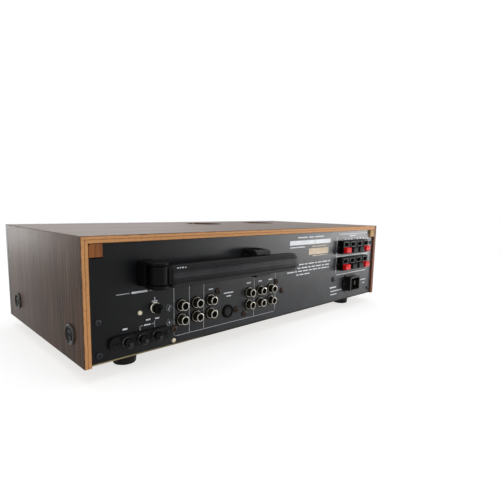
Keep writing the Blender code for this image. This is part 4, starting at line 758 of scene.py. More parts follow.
dial_paint = moulded("dial_paint", tone(9, 12, 14), tone(16, 20, 23), (0.5, 0.65), 25, 0.6, 0.003, 0.1)
red_paint = moulded("red_paint", tone(196, 36, 18), tone(230, 62, 34), (0.35, 0.5), 3)
card = moulded("meter_card", tone(226, 214, 178), tone(242, 233, 204), (0.6, 0.75), 12, specular=0.3)
inset_black = moulded("inset_black", tone(8, 8, 8), tone(15, 15, 15), (0.6, 0.8), 4, specular=0.06)
mark_dark = moulded("mark_dark", tone(26, 26, 28), tone(40, 40, 42), (0.5, 0.7), 3)
dial_ink = moulded("dial_ink", tone(176, 214, 200), tone(214, 240, 228), (0.5, 0.65), 4)
print("moulded finishes ready")

# %% The ferrite bar's cover
# Both heights are measured from the bar's origin.
BAR_LOW = -12.5
BAR_HIGH = 7.5

bar_plastic = Finish("bar_plastic", roughness=0.3, specular=0.09)
rubbed = bar_plastic.noise(20, detail=6)
cover = bar_plastic.ramp(rubbed, (0.32, tone(48, 48, 50)), (0.68, tone(64, 64, 66)))
up_the_bar = bar_plastic.window(bar_plastic.axis("Z"), BAR_LOW * MM, BAR_HIGH * MM)
# A painted highlight band across the bar's front, with painted shade at its top and bottom.
painted_highlight_and_shade = bar_plastic.ramp(
    up_the_bar,
    (0.00, tone(96, 96, 94)),
    (0.20, tone(146, 146, 140)),
    (0.40, tone(158, 158, 152)),
    (0.52, tone(242, 242, 244)),
    (0.66, tone(226, 226, 230)),
    (0.78, tone(132, 132, 134)),
    (1.00, tone(104, 104, 106)),
)
bar_plastic.colour(bar_plastic.mix(1.0, cover, painted_highlight_and_shade, "MULTIPLY"))
bar_plastic.roughness(rubbed, 0.26, 0.38)
bar_plastic.bump(bar_plastic.noise(0.3, detail=2), 0.02)
print("bar cover shaded over", BAR_HIGH - BAR_LOW, "mm")

# %% Glass and circuit board
dial_glass = Finish("dial_glass", roughness=0.03)
dial_glass.feed("Transmission Weight", 1.0)
dial_glass.feed("IOR", 1.3)
smear = dial_glass.noise(30, detail=5)
dial_glass.colour(dial_glass.ramp(smear, (0.3, tone(226, 234, 232)), (0.7, tone(238, 244, 242))))
dial_glass.roughness(smear, 0.02, 0.07)


def circuit_board(name, board_top, parts_dark, parts_light):
    """Green board below board_top in mm, and a crowd of small parts above it."""
    finish = Finish(name, roughness=0.5)
    tracks = finish.noise(3.5, detail=1)
    green = finish.ramp(tracks, (0.46, tone(52, 74, 34)), (0.5, tone(84, 104, 52)))
    crowd = finish.node("RGBToBW", "Val", {"Color": finish.cells(9)})
    parts = finish.ramp(crowd, (0.2, parts_dark), (0.5, tone(120, 84, 40)), (0.75, parts_light))
    above = finish.window(finish.axis("Z"), board_top * MM, (board_top + 0.3) * MM)
    finish.colour(finish.mix(above, green, parts))
    finish.roughness(tracks, 0.4, 0.6)
    finish.bump(tracks, 0.05)
    return finish


BOARD_TOP_Z = 24.5
board_main = circuit_board("board_main", BOARD_TOP_Z, tone(24, 28, 60), tone(150, 150, 152))
board_tuner = circuit_board("board_tuner", BOARD_TOP_Z, tone(150, 152, 156), tone(206, 206, 204))
print("plastic, glass and board finishes ready")

# %% [markdown]
# ## The sleeve
#
# Three boards make the sleeve: a lid between two sides, mitred at the corners. The vinyl wraps
# round the corner, so there the lid and the side share one small flat. Each board is a plate in
# the XZ plane. Its faces get their finish by the way they look: outward is vinyl, inward is bare
# dark board, and the ends and the vents' walls show the chipboard.

# %% Sizes of the sleeve
HALF_WIDTH = 235
BOARD_FRONT = -107.9
Y_REAR = 106.8
CORNER_FLAT = 0.6
VENTS = ((-123.1, -48.2), (-8.5, -48.2))
VENT_RADIUS = 26
VENT_SIDES = 96
VENT_CUT = (110, 126)
VENT_AREA = (200, 80)
BOARD_EDGE = 0.35
SIDES = {"right": 1, "left": -1}


def paint_board(shape, outward):
    """Slot 0 on the vinyl side, 1 on the inner side, 2 on all ends and 3 on the vents' walls."""
    for face in shape.faces:
        looks_out = face.normal.dot(outward)
        middle = face.calc_center_median()
        near_vents = abs(middle.x) < VENT_AREA[0] and abs(middle.y) < VENT_AREA[1]
        if looks_out > 0.5:
            face.material_index = 0
        elif looks_out < -0.9:
            face.material_index = 1
        elif near_vents and abs(face.normal.y) < 0.999:
            face.material_index = 3
        else:
            face.material_index = 2


print("vents in the lid:", len(VENTS), "with a radius of", VENT_RADIUS, "mm")

# %% The lid with its two round vents
flat = CORNER_FLAT / 2
lid_outline = [
    (SIDE_INNER_X, LID_INNER_Z),
    (HALF_WIDTH - flat, Z_TOP - flat),
    (HALF_WIDTH - CORNER_FLAT, Z_TOP),
]
lid_outline += [(-x, z) for x, z in lid_outline[::-1]]
lid = bmesh.new()
add_plate(lid, "Y", lid_outline, BOARD_FRONT, Y_REAR)
vents = bmesh.new()
for vent in VENTS:
    add_turned(vents, "Z", vent, disc_profile(VENT_RADIUS, *VENT_CUT), VENT_SIDES)
lid = carved(lid, vents)
bmesh.ops.dissolve_limit(lid, angle_limit=0.001, verts=lid.verts, edges=lid.edges)
bmesh.ops.recalc_face_normals(lid, faces=lid.faces)
paint_board(lid, Vector((0, 0, 1)))
wood_finishes = [walnut_across, board_inside, board_end, vent_wall]
make_piece("lid_board", lid, wood_finishes, "receiver", ["cabinet_top"], sharp=25)

# %% The two sides
NEAR = 0.01
SIDE_OUTLINE = [
    (SIDE_INNER_X, Z_LOW),
    (HALF_WIDTH, Z_LOW),
    (HALF_WIDTH, Z_TOP - CORNER_FLAT),
    (HALF_WIDTH - flat, Z_TOP - flat),
    (SIDE_INNER_X, LID_INNER_Z),
]


def is_worn(edge):
    """The outer edges of a side wear round, apart from the one at the lid."""
    start, end = [point.co for point in edge.verts]
    outside = all(abs(abs(place.x) - HALF_WIDTH) < NEAR for place in (start, end))
    return outside and (abs(start.y - end.y) < NEAR or start.z < Z_LOW + NEAR)


for side, sign in SIDES.items():
    board = bmesh.new()
    add_plate(board, "Y", [(sign * x, z) for x, z in SIDE_OUTLINE], BOARD_FRONT, Y_REAR)
    bmesh.ops.recalc_face_normals(board, faces=board.faces)
    ends = [edge for edge in board.edges if is_worn(edge)]
    bmesh.ops.bevel(board, geom=ends, offset=BOARD_EDGE, segments=2, affect="EDGES", profile=0.6)
    bmesh.ops.recalc_face_normals(board, faces=board.faces)
    paint_board(board, Vector((sign, 0, 0)))
    finishes = [walnut_up, board_inside, board_end]
    node = f"cabinet_side_{side}"
    make_piece(f"side_board_{side}", board, finishes, "receiver", [node], sharp=25)

# %% [markdown]
# The glue blocks sit in the two rear corners and fill the panel's notches. A real block is a short
# sawn strip with its outer corner planed off, which leaves a small dark triangle beside the mitre.
# One outline with that corner cut, drawn along Y, is all that it takes.

# %% Glue blocks
GLUE_X = (217.2, 228.7)
GLUE_Z = (104.7, 115.7)
GLUE_CORNER = 1.7
GLUE_FRONT = -73.2
GLUE_OUTLINE = [
    (GLUE_X[0], GLUE_Z[0]),
    (GLUE_X[1], GLUE_Z[0]),
    (GLUE_X[1], GLUE_Z[1] - GLUE_CORNER),
    (GLUE_X[1] - GLUE_CORNER, GLUE_Z[1]),
    (GLUE_X[0], GLUE_Z[1]),
]

for side, sign in SIDES.items():
    stick = bmesh.new()
    add_plate(stick, "Y", [(sign * x, z) for x, z in GLUE_OUTLINE], GLUE_FRONT, Y_REAR)
    node = f"corner_block_{side}"
    # The left block gets the paler copy of the same wood: painted light.
    finish = glue_block if sign > 0 else lit_glue_block
    make_piece(f"glue_block_{side}", stick, [finish], "receiver", [node], edge=0.4)

# %% [markdown]
# ## Screws
#
# Every screw on the receiver has a cross recess. The recess is cut once into a template, and the
# template is then stamped wherever a screw goes, which is far quicker than one cut for each. A
# template looks along +Y from its seat at the origin, and a turn of the matrix points it elsewhere.


# %% A screw head with a cross recess
SUNK = 0.4
RECESS_REACH_SHARE = 0.62
RECESS_WIDTH_SHARE = 0.13
QUARTER_TURNS = {"+Y": (0, "Z"), "-X": (1, "Z"), "+X": (-1, "Z"), "-Z": (-1, "X")}


def screw_head(radius, height, dome):
    """A head whose rim is straight up to height - dome, sunk a little into what it sits on."""
    profile = [(0, -SUNK), (radius, -SUNK), (radius, height - dome)]
    for step in (1, 2, 3):
        angle = math.pi / 2 * step / 4
        profile.append((radius * math.cos(angle), height - dome + dome * math.sin(angle)))
    profile.append((0, height))
    head = bmesh.new()
    add_turned(head, "Y", (0, 0), profile, 28)
    arm = radius * RECESS_REACH_SHARE
    thin = radius * RECESS_WIDTH_SHARE
    recess_floor = height - dome * 0.55 - height * 0.35
    outline = []
    for quarter in range(4):
        turned = Matrix.Rotation(quarter * math.pi / 2, 2)
        outline += [turned @ Vector(point) for point in ((arm, thin), (thin, thin), (thin, arm))]
    cross = bmesh.new()
    add_plate(cross, "Y", outline, recess_floor, height + 1)
    return carved(head, cross)


def facing(direction, place, twist=0.0):
    """The matrix that twists a template, turns it from +Y to the direction and moves it."""
    quarters, axis = QUARTER_TURNS[direction]
    turned = Matrix.Rotation(quarters * math.pi / 2, 4, axis)
    return Matrix.Translation(place) @ turned @ Matrix.Rotation(twist, 4, "Y")


print("a screw is cut with", len(screw_head(2.9, 1.5, 0.9).faces), "faces")


# %% Cup washers with their screws, on the sides
CUP_Z = 37.5
CUPS = {"rear": 79.8, "front": -76.2}
CUP_PROFILE = [
    (3.0, -9.0),
    (3.0, 0.1),
    (9.0, 0.1),
    (9.0, 0.9),
    (8.8, 1.5),
    (8.4, 1.85),
    (8.0, 1.95),
    (7.6, 1.8),
    (7.3, 1.4),
    (5.4, 0.45),
    (4.6, 0.35),
    (3.0, 0.3),
]
# Inside the first radius the cup is darker and duller than its enamel: painted shade in its hollow. Beyond
# the second its outer wall is a paler metal: a painted highlight.
CUP_PAINTED_SHADE = 7.25
CUP_PAINTED_HIGHLIGHT = 8.3
CUP_SCREW_SEAT = 0.2
cup_screw = screw_head(4.3, 1.5, 0.8)
cup_finishes = [cup_enamel, inset_black, cup_rim]
for side, sign in SIDES.items():
    for end, y in CUPS.items():
        cup = bmesh.new()
        for face in add_turned(cup, "Y", (0, 0), CUP_PROFILE, 48, closed=True):
            from_middle = math.hypot(face.verts[0].co.x, face.verts[0].co.z)
            face.material_index = 1 if from_middle < CUP_PAINTED_SHADE else 2 if from_middle > CUP_PAINTED_HIGHLIGHT else 0
        stamp(cup, cup_screw, facing("+Y", (0, CUP_SCREW_SEAT, 0), 0.5 + y / 90))
        cup.transform(facing("+X" if sign > 0 else "-X", (sign * HALF_WIDTH, y, CUP_Z)))
        node = f"cabinet_screw_{side}_{end}"
        make_piece(f"cup_washer_{side}_{end}", cup, cup_finishes, "receiver", [node])

# %% [markdown]
# ## The rear panel
#
# The panel is a sheet of steel with satin black paint, and the CAD node has its outline and all
# its holes, so it stays and gets the paint. Small screws hold the sockets and the panel: some are
# browned, some are dark, and two pale rivets have plain domes.


# %% Paint for the nodes that stay
def keep_node(name, finish, edge=0.0):
    """A CAD node that keeps its shape gets a finish, and softer edges where they would show."""
    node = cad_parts[name]
    node.data.materials.clear()
    node.data.materials.append(finish.material)
    if edge:
        weld = node.modifiers.new("weld", "WELD")
        weld.merge_threshold = 0.01 * MM
        rounded_edges(node, edge)
    print("node", name, "keeps its shape in", finish.material.name)


keep_node("rear_panel", black_paint)
keep_node("chassis_tray", zinc)

# %% Screws of the panel
PANEL_Y = 104.3
BROWN_SCREWS = [(148.3, 30.3), (93.6, 59.6), (54.6, 29.0), (1.9, 59.3), (-9.3, 46.6), (66.9, 35.6)]
DARK_SCREWS = [(221.9, 50.6), (221.7, 22.3), (-221.2, 23.2), (-222.3, 95.3)]
LARGE_DARK_SCREWS = [(-122.6, 87.7), (-121.9, 47.4)]
PALE_RIVETS = [(183.8, 52.2), (148.6, 19.2)]
RIVET_DOME = [(0, -SUNK), (2.3, -SUNK), (2.3, 0.3), (2.1, 0.9), (1.6, 1.4), (0.9, 1.7), (0, 1.8)]

small_head = screw_head(2.9, 1.5, 0.9)
large_head = screw_head(3.6, 1.9, 1.2)
screws = bmesh.new()
for number, (x, z) in enumerate(BROWN_SCREWS):
    stamp(screws, large_head, facing("+Y", (x, PANEL_Y, z), 0.7 * number), 0)
for number, (x, z) in enumerate(DARK_SCREWS + LARGE_DARK_SCREWS):
    head = large_head if (x, z) in LARGE_DARK_SCREWS else small_head
    stamp(screws, head, facing("+Y", (x, PANEL_Y, z), 0.5 * number), 1)
make_piece("panel_screws", screws, [brown_steel, dark_steel], "receiver")

round_head = bmesh.new()
add_turned(round_head, "Y", (0, 0), RIVET_DOME, 28)
rivets = bmesh.new()
for x, z in PALE_RIVETS:
    stamp(rivets, round_head, facing("+Y", (x, PANEL_Y, z)))
make_piece("panel_rivets", rivets, [cream_rivet], "receiver")

# %% [markdown]
# ## Printed lines
#
# Silk screen print is a film of ink that stands a few hundredths of a millimetre proud. Drawn as
# a texture it would blur, so each line is a very thin plate with round ends. The caption of each
# socket is a short plain bar, and the symbol for earth is three bars under a stem.

# %% Ink
INK = (PANEL_Y - 0.05, PANEL_Y + 0.05)
LINE = 0.65
FINE_LINE = 0.6


def add_line(shape, points, width=LINE, slot=0, film=INK):
    """Adds a printed line through the points (x, z), with round ends and joints."""
    for (x0, z0), (x1, z1) in zip(points, points[1:]):
        left = math.degrees(math.atan2(z1 - z0, x1 - x0)) + 90
        outline = arc((x0, z0), width / 2, left, left + 180, 4)
        outline += arc((x1, z1), width / 2, left + 180, left + 360, 4)
        add_plate(shape, "Y", outline, *film, slot)


def arc(centre, radius, start, end, steps=5):
    """Points on an arc, with its angles in degrees."""
    angles = [math.radians(start + (end - start) * step / steps) for step in range(steps + 1)]
    return [(centre[0] + radius * math.cos(a), centre[1] + radius * math.sin(a)) for a in angles]


def on_circle(centre, radius, degrees):
    return arc(centre, radius, degrees, degrees, 1)[0]


def add_bar(shape, middle, z, width, height, slot=0, film=INK):
    add_plate(shape, "Y", rectangle(centred(middle, width), centred(z, height)), *film, slot)


print("ink stands", round(INK[1] - PANEL_Y, 3), "mm proud")

# %% Lines round the sockets and terminals
SOCKET_LINE_Z = (23.0, 70.2)
SOCKET_LINE_X = (130.0, 112.0, 39.2)
SOCKET_FRAME_X = (147.9, 2.9)
LINE_CORNER = 2.2
AERIAL_LINES = [
    [(205.4, 71.2), (193.5, 71.2)],
    [(174.0, 71.0), (161.0, 71.0)],
]
TERMINAL_LINES = [
    [(183.8, 36.4), (183.8, 40.0), (180.9, 40.0)],
    [(172.2, 40.0), (168.9, 40.0), (168.9, 36.4)],
    [(168.9, 40.0), (168.9, 42.2)],
]

ink = bmesh.new()
for x in SOCKET_LINE_X:
    add_line(ink, [(x, z) for z in SOCKET_LINE_Z])
left, right = SOCKET_FRAME_X
corner_z = SOCKET_LINE_Z[0] + LINE_CORNER
left_corner = arc((left - LINE_CORNER, corner_z), LINE_CORNER, 0, -90)
right_corner = arc((right + LINE_CORNER, corner_z), LINE_CORNER, -90, -180)
top = SOCKET_LINE_Z[1]
add_line(ink, [(left, top), *left_corner, *right_corner, (right, top)])
for points in AERIAL_LINES:
    add_line(ink, points)
for points in TERMINAL_LINES:
    add_line(ink, points, FINE_LINE)
print("faces of ink in the lines:", len(ink.faces))

# %% The earth symbol and the two circled marks
EARTH_SIGN_X = 168.6
EARTH_SIGN_STEM = (64.0, 60.8)
EARTH_SIGN_BARS = {60.8: 2.8, 59.6: 1.9, 58.4: 1.0}
CIRCLED = ((153.2, 51.8), (153.1, 37.6))
CIRCLED_DOT = 0.9
CIRCLED_STROKE = [(152.2, 53.2), (154.1, 50.4)]

add_line(ink, [(EARTH_SIGN_X, z) for z in EARTH_SIGN_STEM], 0.75, 1)
for z, half in EARTH_SIGN_BARS.items():
    add_line(ink, [(EARTH_SIGN_X - half, z), (EARTH_SIGN_X + half, z)], 0.7, 1)
for centre in CIRCLED:
    add_line(ink, arc(centre, 3.0, 0, 360, 24), 0.9, 1)
add_line(ink, CIRCLED_STROKE, 0.8, 1)
add_turned(ink, "Y", CIRCLED[1], disc_profile(CIRCLED_DOT, *INK), 16, 1)
print("faces of ink with the symbols:", len(ink.faces))

# %% The frame round the speaker terminals
FRAME_X = (-214.2, -127.3)
FRAME_Z = (53.2, 111.5)
FRAME_MIDDLE_Z = 79.4
FRAME_CORNER = 2.4
frame_line = rounded(FRAME_X, FRAME_Z, FRAME_CORNER)
add_line(ink, [*frame_line, frame_line[0]], 0.9, 1)
add_line(ink, [(x, FRAME_MIDDLE_Z) for x in FRAME_X], 1.2, 1)
print("faces of ink with the frame:", len(ink.faces))

# %% Plain bars where the captions are
CAPTION_BARS = {
    (198.2, 40.3): (4.6, 1.5),
    (175.6, 44.6): (4.4, 1.4),
    (166.4, 44.3): (4.4, 1.2),
    (176.5, 40.1): (6.4, 1.3),
    (183.6, 71.2): (15.5, 1.7),
    (139.0, 70.7): (8.0, 1.0),
    (121.0, 70.7): (8.0, 1.0),
    (102.9, 63.0): (6.0, 1.2),
    (78.5, 56.0): (13.5, 1.3),
    (78.0, 52.4): (6.5, 1.3),
    (48.2, 63.0): (6.5, 1.4),
    (29.6, 63.0): (5.5, 1.4),
    (12.0, 63.0): (6.5, 1.4),
    (-149.0, 103.9): (3.0, 2.0),
    (-158.0, 103.9): (2.6, 2.0),
    (-166.0, 103.9): (3.0, 2.0),
    (-181.6, 104.0): (3.0, 2.0),
    (-190.5, 104.0): (2.6, 2.0),
    (-199.5, 104.0): (3.0, 2.0),
    (-169.0, 108.6): (17.0, 1.2),
    (-206.5, 38.4): (15.0, 1.3),
    (-208.5, 33.0): (7.0, 1.3),
    (-122.6, 35.8): (16.0, 1.9),
    (-130.6, 30.4): (28.0, 1.2),
    (-124.6, 25.6): (16.0, 1.2),
}
for (x, z), (width, height) in CAPTION_BARS.items():
    add_bar(ink, x, z, width, height, 1)
make_piece("panel_print", ink, [dim_print, white_print], "receiver")

# %% Rows of short rules, in place of small print
RULE_ROWS = {75.6: (-42, -115), 71.0: (-39, -111), 67.0: (-19, -109), 62.6: (-37, -66)}
RULE_LENGTHS = (9.5, 6.0, 12.5, 4.5, 8.0, 11.0, 5.5)
RULE_SPACE = 2.2
RULE_HEIGHT = 1.4
SHORTEST_RULE = 1
# Middle, z, width, height and slot of each rule that stands alone.
LONE_RULES = [
    (-48.0, 110.2, 20.0, 1.6, 0),
    (-66.0, 110.2, 11.0, 1.6, 0),
    (-84.0, 110.2, 20.0, 1.6, 0),
    (-38.0, 98.0, 30.0, 1.3, 0),
    (-85.0, 97.6, 33.0, 1.0, 1),
    (-87.0, 85.2, 34.0, 0.8, 1),
]

rules = bmesh.new()
for row, (z, (x, end)) in enumerate(RULE_ROWS.items()):
    number = row
    while x > end:
        length = min(RULE_LENGTHS[number % len(RULE_LENGTHS)], x - end)
        if length > SHORTEST_RULE:
            add_bar(rules, x - length / 2, z, length, RULE_HEIGHT)
        x -= length + RULE_SPACE
        number += 1
for lone_rule in LONE_RULES:
    add_bar(rules, *lone_rule)
make_piece("panel_rules", rules, [white_print, label_cream], "receiver")

# %% The bare nameplate and the bare label
NAMEPLATE = ((-110.6, -22.0), (100.8, 106.4))
LABEL = ((-106.0, -61.6), (86.9, 95.0))

plate = bmesh.new()
add_plate(plate, "Y", rounded(*NAMEPLATE, 0.5, 2), PANEL_Y - 0.1, PANEL_Y + 0.3)
make_piece("blank_nameplate", plate, [plate_white], "receiver", edge=0.1)
label = bmesh.new()
add_plate(label, "Y", rounded(*LABEL, 0.8, 2), PANEL_Y - 0.1, PANEL_Y + 0.12)
make_piece("blank_label", label, [label_cream], "receiver")

# %% [markdown]
# ## Phono sockets
#
# A phono socket is a metal barrel with a bright rolled rim in front and a nickel washer over a
# black ring at its foot. The barrel's side is painted a darker, warmer metal than its rim: a
# painted reflection. Inside the rim lies a black insulator with a small sleeve in its middle.
# All twelve are alike, so the parts are turned once, and the template is stamped on both groups.

# %% One phono socket
PHONO_REACH = 7.5
WASHER = [(4.95, 0.2), (5.4, 0.2), (5.4, 1.1), (5.3, 1.35), (5.1, 1.35), (4.95, 1.1)]
RIM = [
    (3.45, 6.0),
    (3.95, 6.0),
    (4.15, 6.3),
    (4.15, 7.1),
    (4.05, 7.4),
    (3.85, PHONO_REACH),
    (3.65, PHONO_REACH),
    (3.5, 7.3),
    (3.45, 7.0),
]
INSULATOR = [(1.65, 0.0), (3.48, 0.0), (3.48, 5.6), (2.4, 5.4), (1.65, 5.4)]
# The profile, the number of sides and the slot of each ring, from the washer to the sleeve.
PHONO_RINGS = [
    (WASHER, 40, 0),
    (ring_profile(3.9, 5.0, 0.2, 0.95), 40, 2),
    (ring_profile(5.3, 6.5, 0.03, 0.45), 40, 2),
    (ring_profile(3.3, 4.0, -1.2, 6.5), 40, 1),
    (RIM, 40, 0),
    (INSULATOR, 32, 2),
    (ring_profile(1.35, 1.66, 1.5, 5.7), 24, 2),
]
SLEEVE_BACK = disc_profile(1.66, 0.4, 1.6)

phono = bmesh.new()
for profile, sides, slot in PHONO_RINGS:
    add_turned(phono, "Y", (0, 0), profile, sides, slot, closed=True)
add_turned(phono, "Y", (0, 0), SLEEVE_BACK, 24, 2)
print("faces of one phono socket:", len(phono.faces))

# %% The two groups of six
PHONO_ROWS = (52.27, 38.27)
PHONO_GROUPS = {"input": (103.5, 121.5, 139.5), "tape": (11.6, 29.6, 47.6)}
BACKING_Y = (94.8, 102.8)
BACKING_EDGE = 7

socket_finishes = [nickel, painted_reflection_metal, inset_black, board_main]

for group, columns in PHONO_GROUPS.items():
    sockets = bmesh.new()
    for x in columns:
        for z in PHONO_ROWS:
            stamp(sockets, phono, Matrix.Translation((x, PANEL_Y, z)))
    backing_x = (columns[0] - BACKING_EDGE, columns[-1] + BACKING_EDGE)
    backing_z = (PHONO_ROWS[1] - BACKING_EDGE, PHONO_ROWS[0] + BACKING_EDGE)
    add_box(sockets, backing_x, BACKING_Y, backing_z, 3)
    node = f"{group}_sockets"
    make_piece(f"{group}_phono_sockets", sockets, socket_finishes, "receiver", [node])

# %% [markdown]
# ## The round five-pin socket
#
# The plug's shell slides into a ring-shaped slot, and its five pins go into holes on a half
# circle. The ring and the core are turned apart from each other, the holes are cut from the core
# in one go, and a small key stands in the slot at the bottom. All of it is drawn about the
# origin, with the panel's face at zero, and then moved to its place.

# %% Ring, core and holes
DIN_CENTRE = (79.7, 35.9)
DIN_PIN_CIRCLE = 3.1
DIN_PIN_ANGLES = (0, 45, 90, 135, 180)
DIN_CORE = [(0, -1.0), (4.7, -1.0), (4.7, 1.1), (4.5, 1.35), (0, 1.35)]
DIN_HOLE = disc_profile(0.75, -0.4, 3)
DIN_SHELL = [
    (5.6, -1.0),
    (7.25, -1.0),
    (7.25, 0.9),
    (7.0, 1.4),
    (6.6, 1.6),
    (5.9, 1.5),
    (5.6, 1.2),
]
DIN_SLOT_FLOOR = ring_profile(4.6, 5.7, -1.0, -0.6)
DIN_KEY = (centred(0, 1.5), (-0.8, 1.3), (-5.8, -4.5))
DIN_BODY = disc_profile(8.4, -12.4, -1.6)
DIN_CONTACT = [(0, -0.4), (0.5, -0.4), (0.5, 0.7), (0, 0.9)]

core = bmesh.new()
add_turned(core, "Y", (0, 0), DIN_CORE, 48)
holes = bmesh.new()
pin_places = [on_circle((0, 0), DIN_PIN_CIRCLE, angle) for angle in DIN_PIN_ANGLES]
for place in pin_places:
    add_turned(holes, "Y", place, DIN_HOLE, 14)
din = carved(core, holes)
add_turned(din, "Y", (0, 0), DIN_SHELL, 56, 1, closed=True)
add_turned(din, "Y", (0, 0), DIN_SLOT_FLOOR, 48, 0, closed=True)
add_box(din, *DIN_KEY, 0)
add_turned(din, "Y", (0, 0), DIN_BODY, 40, 1)
for place in pin_places:
    add_turned(din, "Y", place, DIN_CONTACT, 12, 2)
din.transform(Matrix.Translation((DIN_CENTRE[0], PANEL_Y, DIN_CENTRE[1])))
din_finishes = [socket_core, inset_black, painted_reflection_metal]
make_piece("round_socket", din, din_finishes, "receiver", ["din_socket"])

# %% [markdown]
# ## Aerial terminals and thumb nuts
#
# Three studs stand on a narrow moulded strip that two screws hold. Each stud carries a ring for
# the wire and a black thumb nut with a fluted grip. The flutes come from the lathe: the radius
# rises and falls as the profile turns. The nuts are pieces of their own, because they unscrew.
# The earth terminal is a stud in the panel: a bright ring and a stud, a hair larger than the
# CAD's, cover it, and its nut is longer than the other three.

# %% The strip and its studs
STRIP_CENTRE = (183.5, 29.5)
STRIP_FACE_Y = 107.6
STRIP_SIZE = (61, 12)
STRIP_SCREW_X = (208.9, 158.1)
TERMINAL_X = (168.9, 183.5, 198.1)
STUD_Y = (98.1, 116.3)
STUD_RADIUS = 1.7
THREAD_PITCH = 0.7
THREAD_DEPTH = 0.22
WIRE_RING = ring_profile(STUD_RADIUS - 0.1, 4.6, STRIP_FACE_Y - 0.2, STRIP_FACE_Y + 1.0, 0.3)
# What sits on the panel starts a hair off it, so that the two never share a face.
SEAT_Y = PANEL_Y + 0.3
# Each layer of the strip: how far it is drawn in, its corners' radius, its start and its end.
STRIP_LAYERS = [
    (0, 5.6, SEAT_Y, STRIP_FACE_Y - 0.5),
    (0.7, 5.0, STRIP_FACE_Y - 0.7, STRIP_FACE_Y),
]


def add_stud(shape, centre, start, end, slot):
    """A threaded stud: the radius steps in and out once for every turn of the thread."""
    profile = [(0, start), (STUD_RADIUS, start)]
    threads = int((end - 0.6 - start) / THREAD_PITCH)
    for thread in range(threads):
        along = start + (thread + 0.5) * THREAD_PITCH
        profile += [(STUD_RADIUS, along), (STUD_RADIUS - THREAD_DEPTH, along + THREAD_PITCH / 2)]
    profile += [(STUD_RADIUS, end - 0.5), (STUD_RADIUS - 0.45, end), (0, end)]
    add_turned(shape, "Y", centre, profile, 20, slot)


strip = bmesh.new()
for inset, corner, start, end in STRIP_LAYERS:
    spans = [centred(middle, size - 2 * inset) for middle, size in zip(STRIP_CENTRE, STRIP_SIZE)]
    add_plate(strip, "Y", rounded(*spans, corner, 8), start, end)
for x in TERMINAL_X:
    centre = (x, STRIP_CENTRE[1])
    add_turned(strip, "Y", centre, WIRE_RING, 36, 1, closed=True)
    add_stud(strip, centre, *STUD_Y, 2)
strip_screw = screw_head(2.4, 1.3, 0.8)
for number, x in enumerate(STRIP_SCREW_X):
    stamp(strip, strip_screw, facing("+Y", (x, STRIP_FACE_Y, STRIP_CENTRE[1]), 0.4 + number))
strip_finishes = [strip_plastic, ring_metal, dark_steel]
node = "aerial_terminal_strip"
make_piece("terminal_strip", strip, strip_finishes, "receiver", [node], edge=0.15)

# %% The earth stud over the panel's own
EARTH = (168.0, 54.4)
EARTH_RING = [(1.6, -0.05), (5.1, -0.05), (5.1, 0.5), (4.8, 0.85), (4.4, 1.0), (1.6, 1.0)]

stud = bmesh.new()
ring_on_panel = [(radius, PANEL_Y + along) for radius, along in EARTH_RING]
add_turned(stud, "Y", EARTH, ring_on_panel, 40, closed=True)
add_stud(stud, EARTH, PANEL_Y + 0.4, STUD_Y[1], 1)
make_piece("earth_stud", stud, [nickel, dark_steel], "receiver")

# %% Thumb nuts
NUT_PROFILE = [
    (1.85, 0.0),
    (3.9, 0.0),
    (4.5, 0.4, 0.35),
    (4.5, 3.5, 0.35),
    (4.2, 3.9, 0.1),
    (3.6, 4.4),
    (3.1, 4.9),
    (2.7, 5.5),
    (1.85, 5.5),
]
NUT_FLUTES = 18
# The node, the place, the seat's Y and how much longer the nut is than its profile.
NUTS = {"earth": ("earth_nut", EARTH, 105.6, 1.45)}
for number, x in enumerate(TERMINAL_X, 1):
    NUTS[f"aerial_{number}"] = (f"aerial_nut_{number}", (x, STRIP_CENTRE[1]), 108.9, 1.1)

for body, (node, centre, seat_y, reach) in NUTS.items():
    nut = bmesh.new()
    profile = [(radius, seat_y + reach * along, *flute) for radius, along, *flute in NUT_PROFILE]
    add_turned(nut, "Y", centre, profile, NUT_FLUTES * 6, closed=True, flutes=NUT_FLUTES)
    pivot = (centre[0], seat_y, centre[1])
    name = f"thumb_nut_{body}"
    make_piece(name, nut, [nut_black], body, [node], origin=pivot)

# %% [markdown]
# ## The ferrite aerial
#
# The bar swings out on an upright pin. Its cover is a long moulding with fine grooves along its
# front and its upper slope. A loft makes it: one grooved cross-section is repeated along X and
# drawn in towards both ends, a little at the hinge and much more at the round far end. The eye
# round the pin is turned.

# %% The bar's cross-section
PIVOT = (177.5, 126.3)
BAR_MIDDLE_Z = 86.0
BAR_DEPTH = 16.0
BAR_HEIGHT = 20.0
BAR_CHAMFER = 4.4
BAR_SHOULDER_X = 167.9
BAR_FAR_X = -4.0
SHOULDER_LENGTH = 4.0
SHOULDER_SHARE = 0.78
TIP_LENGTH = 9.0
TIP_SHARE = 0.55
CORNER_ROUND = 1.1
GROOVE_PITCH = 2.7
GROOVE_HALF = 0.32
GROOVE_DEPTH = 0.24
GROOVE_EDGE = 0.4
GROOVED_SIDES = (2, 3)


